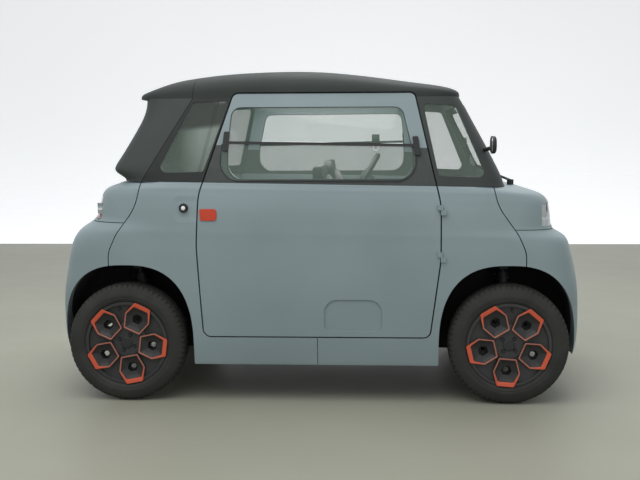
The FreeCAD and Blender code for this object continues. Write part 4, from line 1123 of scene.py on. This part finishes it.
def door_strap(door, side):
    """A cloth loop to pull the door shut, flat against its inner face."""
    loops = []
    for k in range(13):
        u = k / 12
        x = -0.40 + 0.17 * u
        x = x if side < 0 else 2 * DOOR_CENTRE_X - x
        rise = 0.002 + 0.026 * math.sin(math.pi * u) ** 0.8
        p = Vector((x, door.hit((x, side * 0.30, 0.905), (0, side, 0)).y - side * rise, 0.905))
        loops.append([p + Vector((0, -side * dy, dz))
                      for dz, dy in ((-0.0125, 0.0), (-0.0125, 0.0016), (0.0125, 0.0016), (0.0125, 0.0))])
    return bridged(loops, True)


def build_door_details():
    for name, side in SIDES:
        strap = door_strap(Surface("door_" + name), side)
        add_piece("door_strap_" + name, strap, "strap_fabric", body="door_" + name)
    bar = Surface("door_bar_left", "door_glass_left")
    catch_x = 0.265
    face = bar.hit((catch_x, 0.30, 1.176), ACROSS).y - 0.0006
    box = rounded_block((catch_x - 0.022, face - 0.016, 1.164), (catch_x + 0.022, face, 1.226), 0.005)
    add_piece("window_catch", box, "black_plastic", body="door_left")
    ring = tube(circle(Vector((catch_x, face - 0.010, 1.150)), FORWARD, UP, 0.015, 28), 0.0032, True)
    add_piece("window_catch_ring", ring, "lock_steel_painted_glint", body="door_left")


def coil(low, high, radius):
    along = (high - low).normalized()
    across = along.cross(ACROSS).normalized()
    other = along.cross(across)
    turns = 6 if (high - low).length > 0.15 else 4
    points = []
    for k in range(turns * 16 + 1):
        a = 2 * math.pi * k / 16
        spot = low.lerp(high, k / (turns * 16))
        points.append(spot + across * radius * math.cos(a) + other * radius * math.sin(a))
    return tube(points, 0.0042, False, 6)


def build_springs():
    coils = []
    for side in (-1, 1):
        low = Vector((AXLE_X, side * 0.430, 0.332))
        high = Vector((AXLE_X, side * 0.392, 0.5857))
        coils.append(coil(low.lerp(high, 0.50), low.lerp(high, 0.90), 0.0370))
        low = Vector((-AXLE_X + 0.060, side * 0.400, 0.266))
        high = Vector((-AXLE_X + 0.004, side * 0.392, 0.5857))
        coils.append(coil(low.lerp(high, 0.24), low.lerp(high, 0.88), 0.0385))
    add_piece("suspension_springs", joined(coils), "spring_steel", 60.0)


build_dash()
build_controls()
build_door_details()
build_springs()


# Stage: floor, wall and lights
WALL_Y, WALL_BEND, STAGE_HALF = 6.3, 0.9, 30
LIGHTS = {
    "key": ((-1.0, -2.6, 4.6), (0, 0, 0.4), 4.5, 150.0),
    "top": ((0.5, 1.6, 5.0), (0, 0.4, 0.6), 4.0, 120.0),
    "fill": ((3.5, -5.5, 1.8), (0, 0, 0.7), 3.0, 30.0),
}


def add_backdrop():
    """A floor, and a wall that rises from it in a quarter circle."""
    half = STAGE_HALF
    edge = [(WALL_Y, 0.001)]
    for i in range(1, 11):
        a = math.pi / 2 * i / 10
        edge.append((WALL_Y + WALL_BEND * math.sin(a), 0.001 + WALL_BEND - WALL_BEND * math.cos(a)))
    edge.append((WALL_Y + WALL_BEND, 12))
    floor = [(-half, -half, 0), (half, -half, 0), (half, WALL_Y, 0), (-half, WALL_Y, 0)], [(0, 1, 2, 3)]
    wall = [(x, y, z) for y, z in edge for x in (-half, half)]
    strips = [(i, i + 1, i + 3, i + 2) for i in range(0, 22, 2)]
    for name, shape in (("floor", floor), ("wall", (wall, strips))):
        piece = new_piece(name, shape)
        piece.data.materials.append(looks["studio_" + name])


def add_world():
    """A near-white backdrop, and a softer light for everything but the camera."""
    world = bpy.data.worlds.new("world")
    bpy.context.scene.world = world
    world.use_nodes = True
    tree = world.node_tree
    tree.nodes.clear()
    mix = tree.nodes.new("ShaderNodeMixShader")
    for slot, colour, strength in ((1, (0.93, 0.97, 1.0, 1.0), 0.55), (2, (0.90, 0.905, 0.92, 1.0), 1.0)):
        back = tree.nodes.new("ShaderNodeBackground")
        back.inputs["Color"].default_value = colour
        back.inputs["Strength"].default_value = strength
        tree.links.new(back.outputs[0], mix.inputs[slot])
    path = tree.nodes.new("ShaderNodeLightPath")
    tree.links.new(path.outputs["Is Camera Ray"], mix.inputs[0])
    tree.links.new(mix.outputs[0], tree.nodes.new("ShaderNodeOutputWorld").inputs[0])


def add_light(name, spot, size, power):
    data = bpy.data.lights.new(name, "AREA")
    data.energy = power
    data.size = size
    lamp = bpy.data.objects.new(name, data)
    lamp.location = spot
    bpy.context.scene.collection.objects.link(lamp)
    return lamp


add_backdrop()
add_world()
for name, (spot, target, size, power) in LIGHTS.items():
    aim = Vector(target) - Vector(spot)
    add_light(name, spot, size, power).rotation_euler = aim.to_track_quat("-Z", "Y").to_euler()
add_light("cabin", (0.0, 0.05, 1.40), 0.7, 12.0).data.color = (1.0, 0.99, 0.97)
bpy.context.scene.view_settings.view_transform = "Standard"
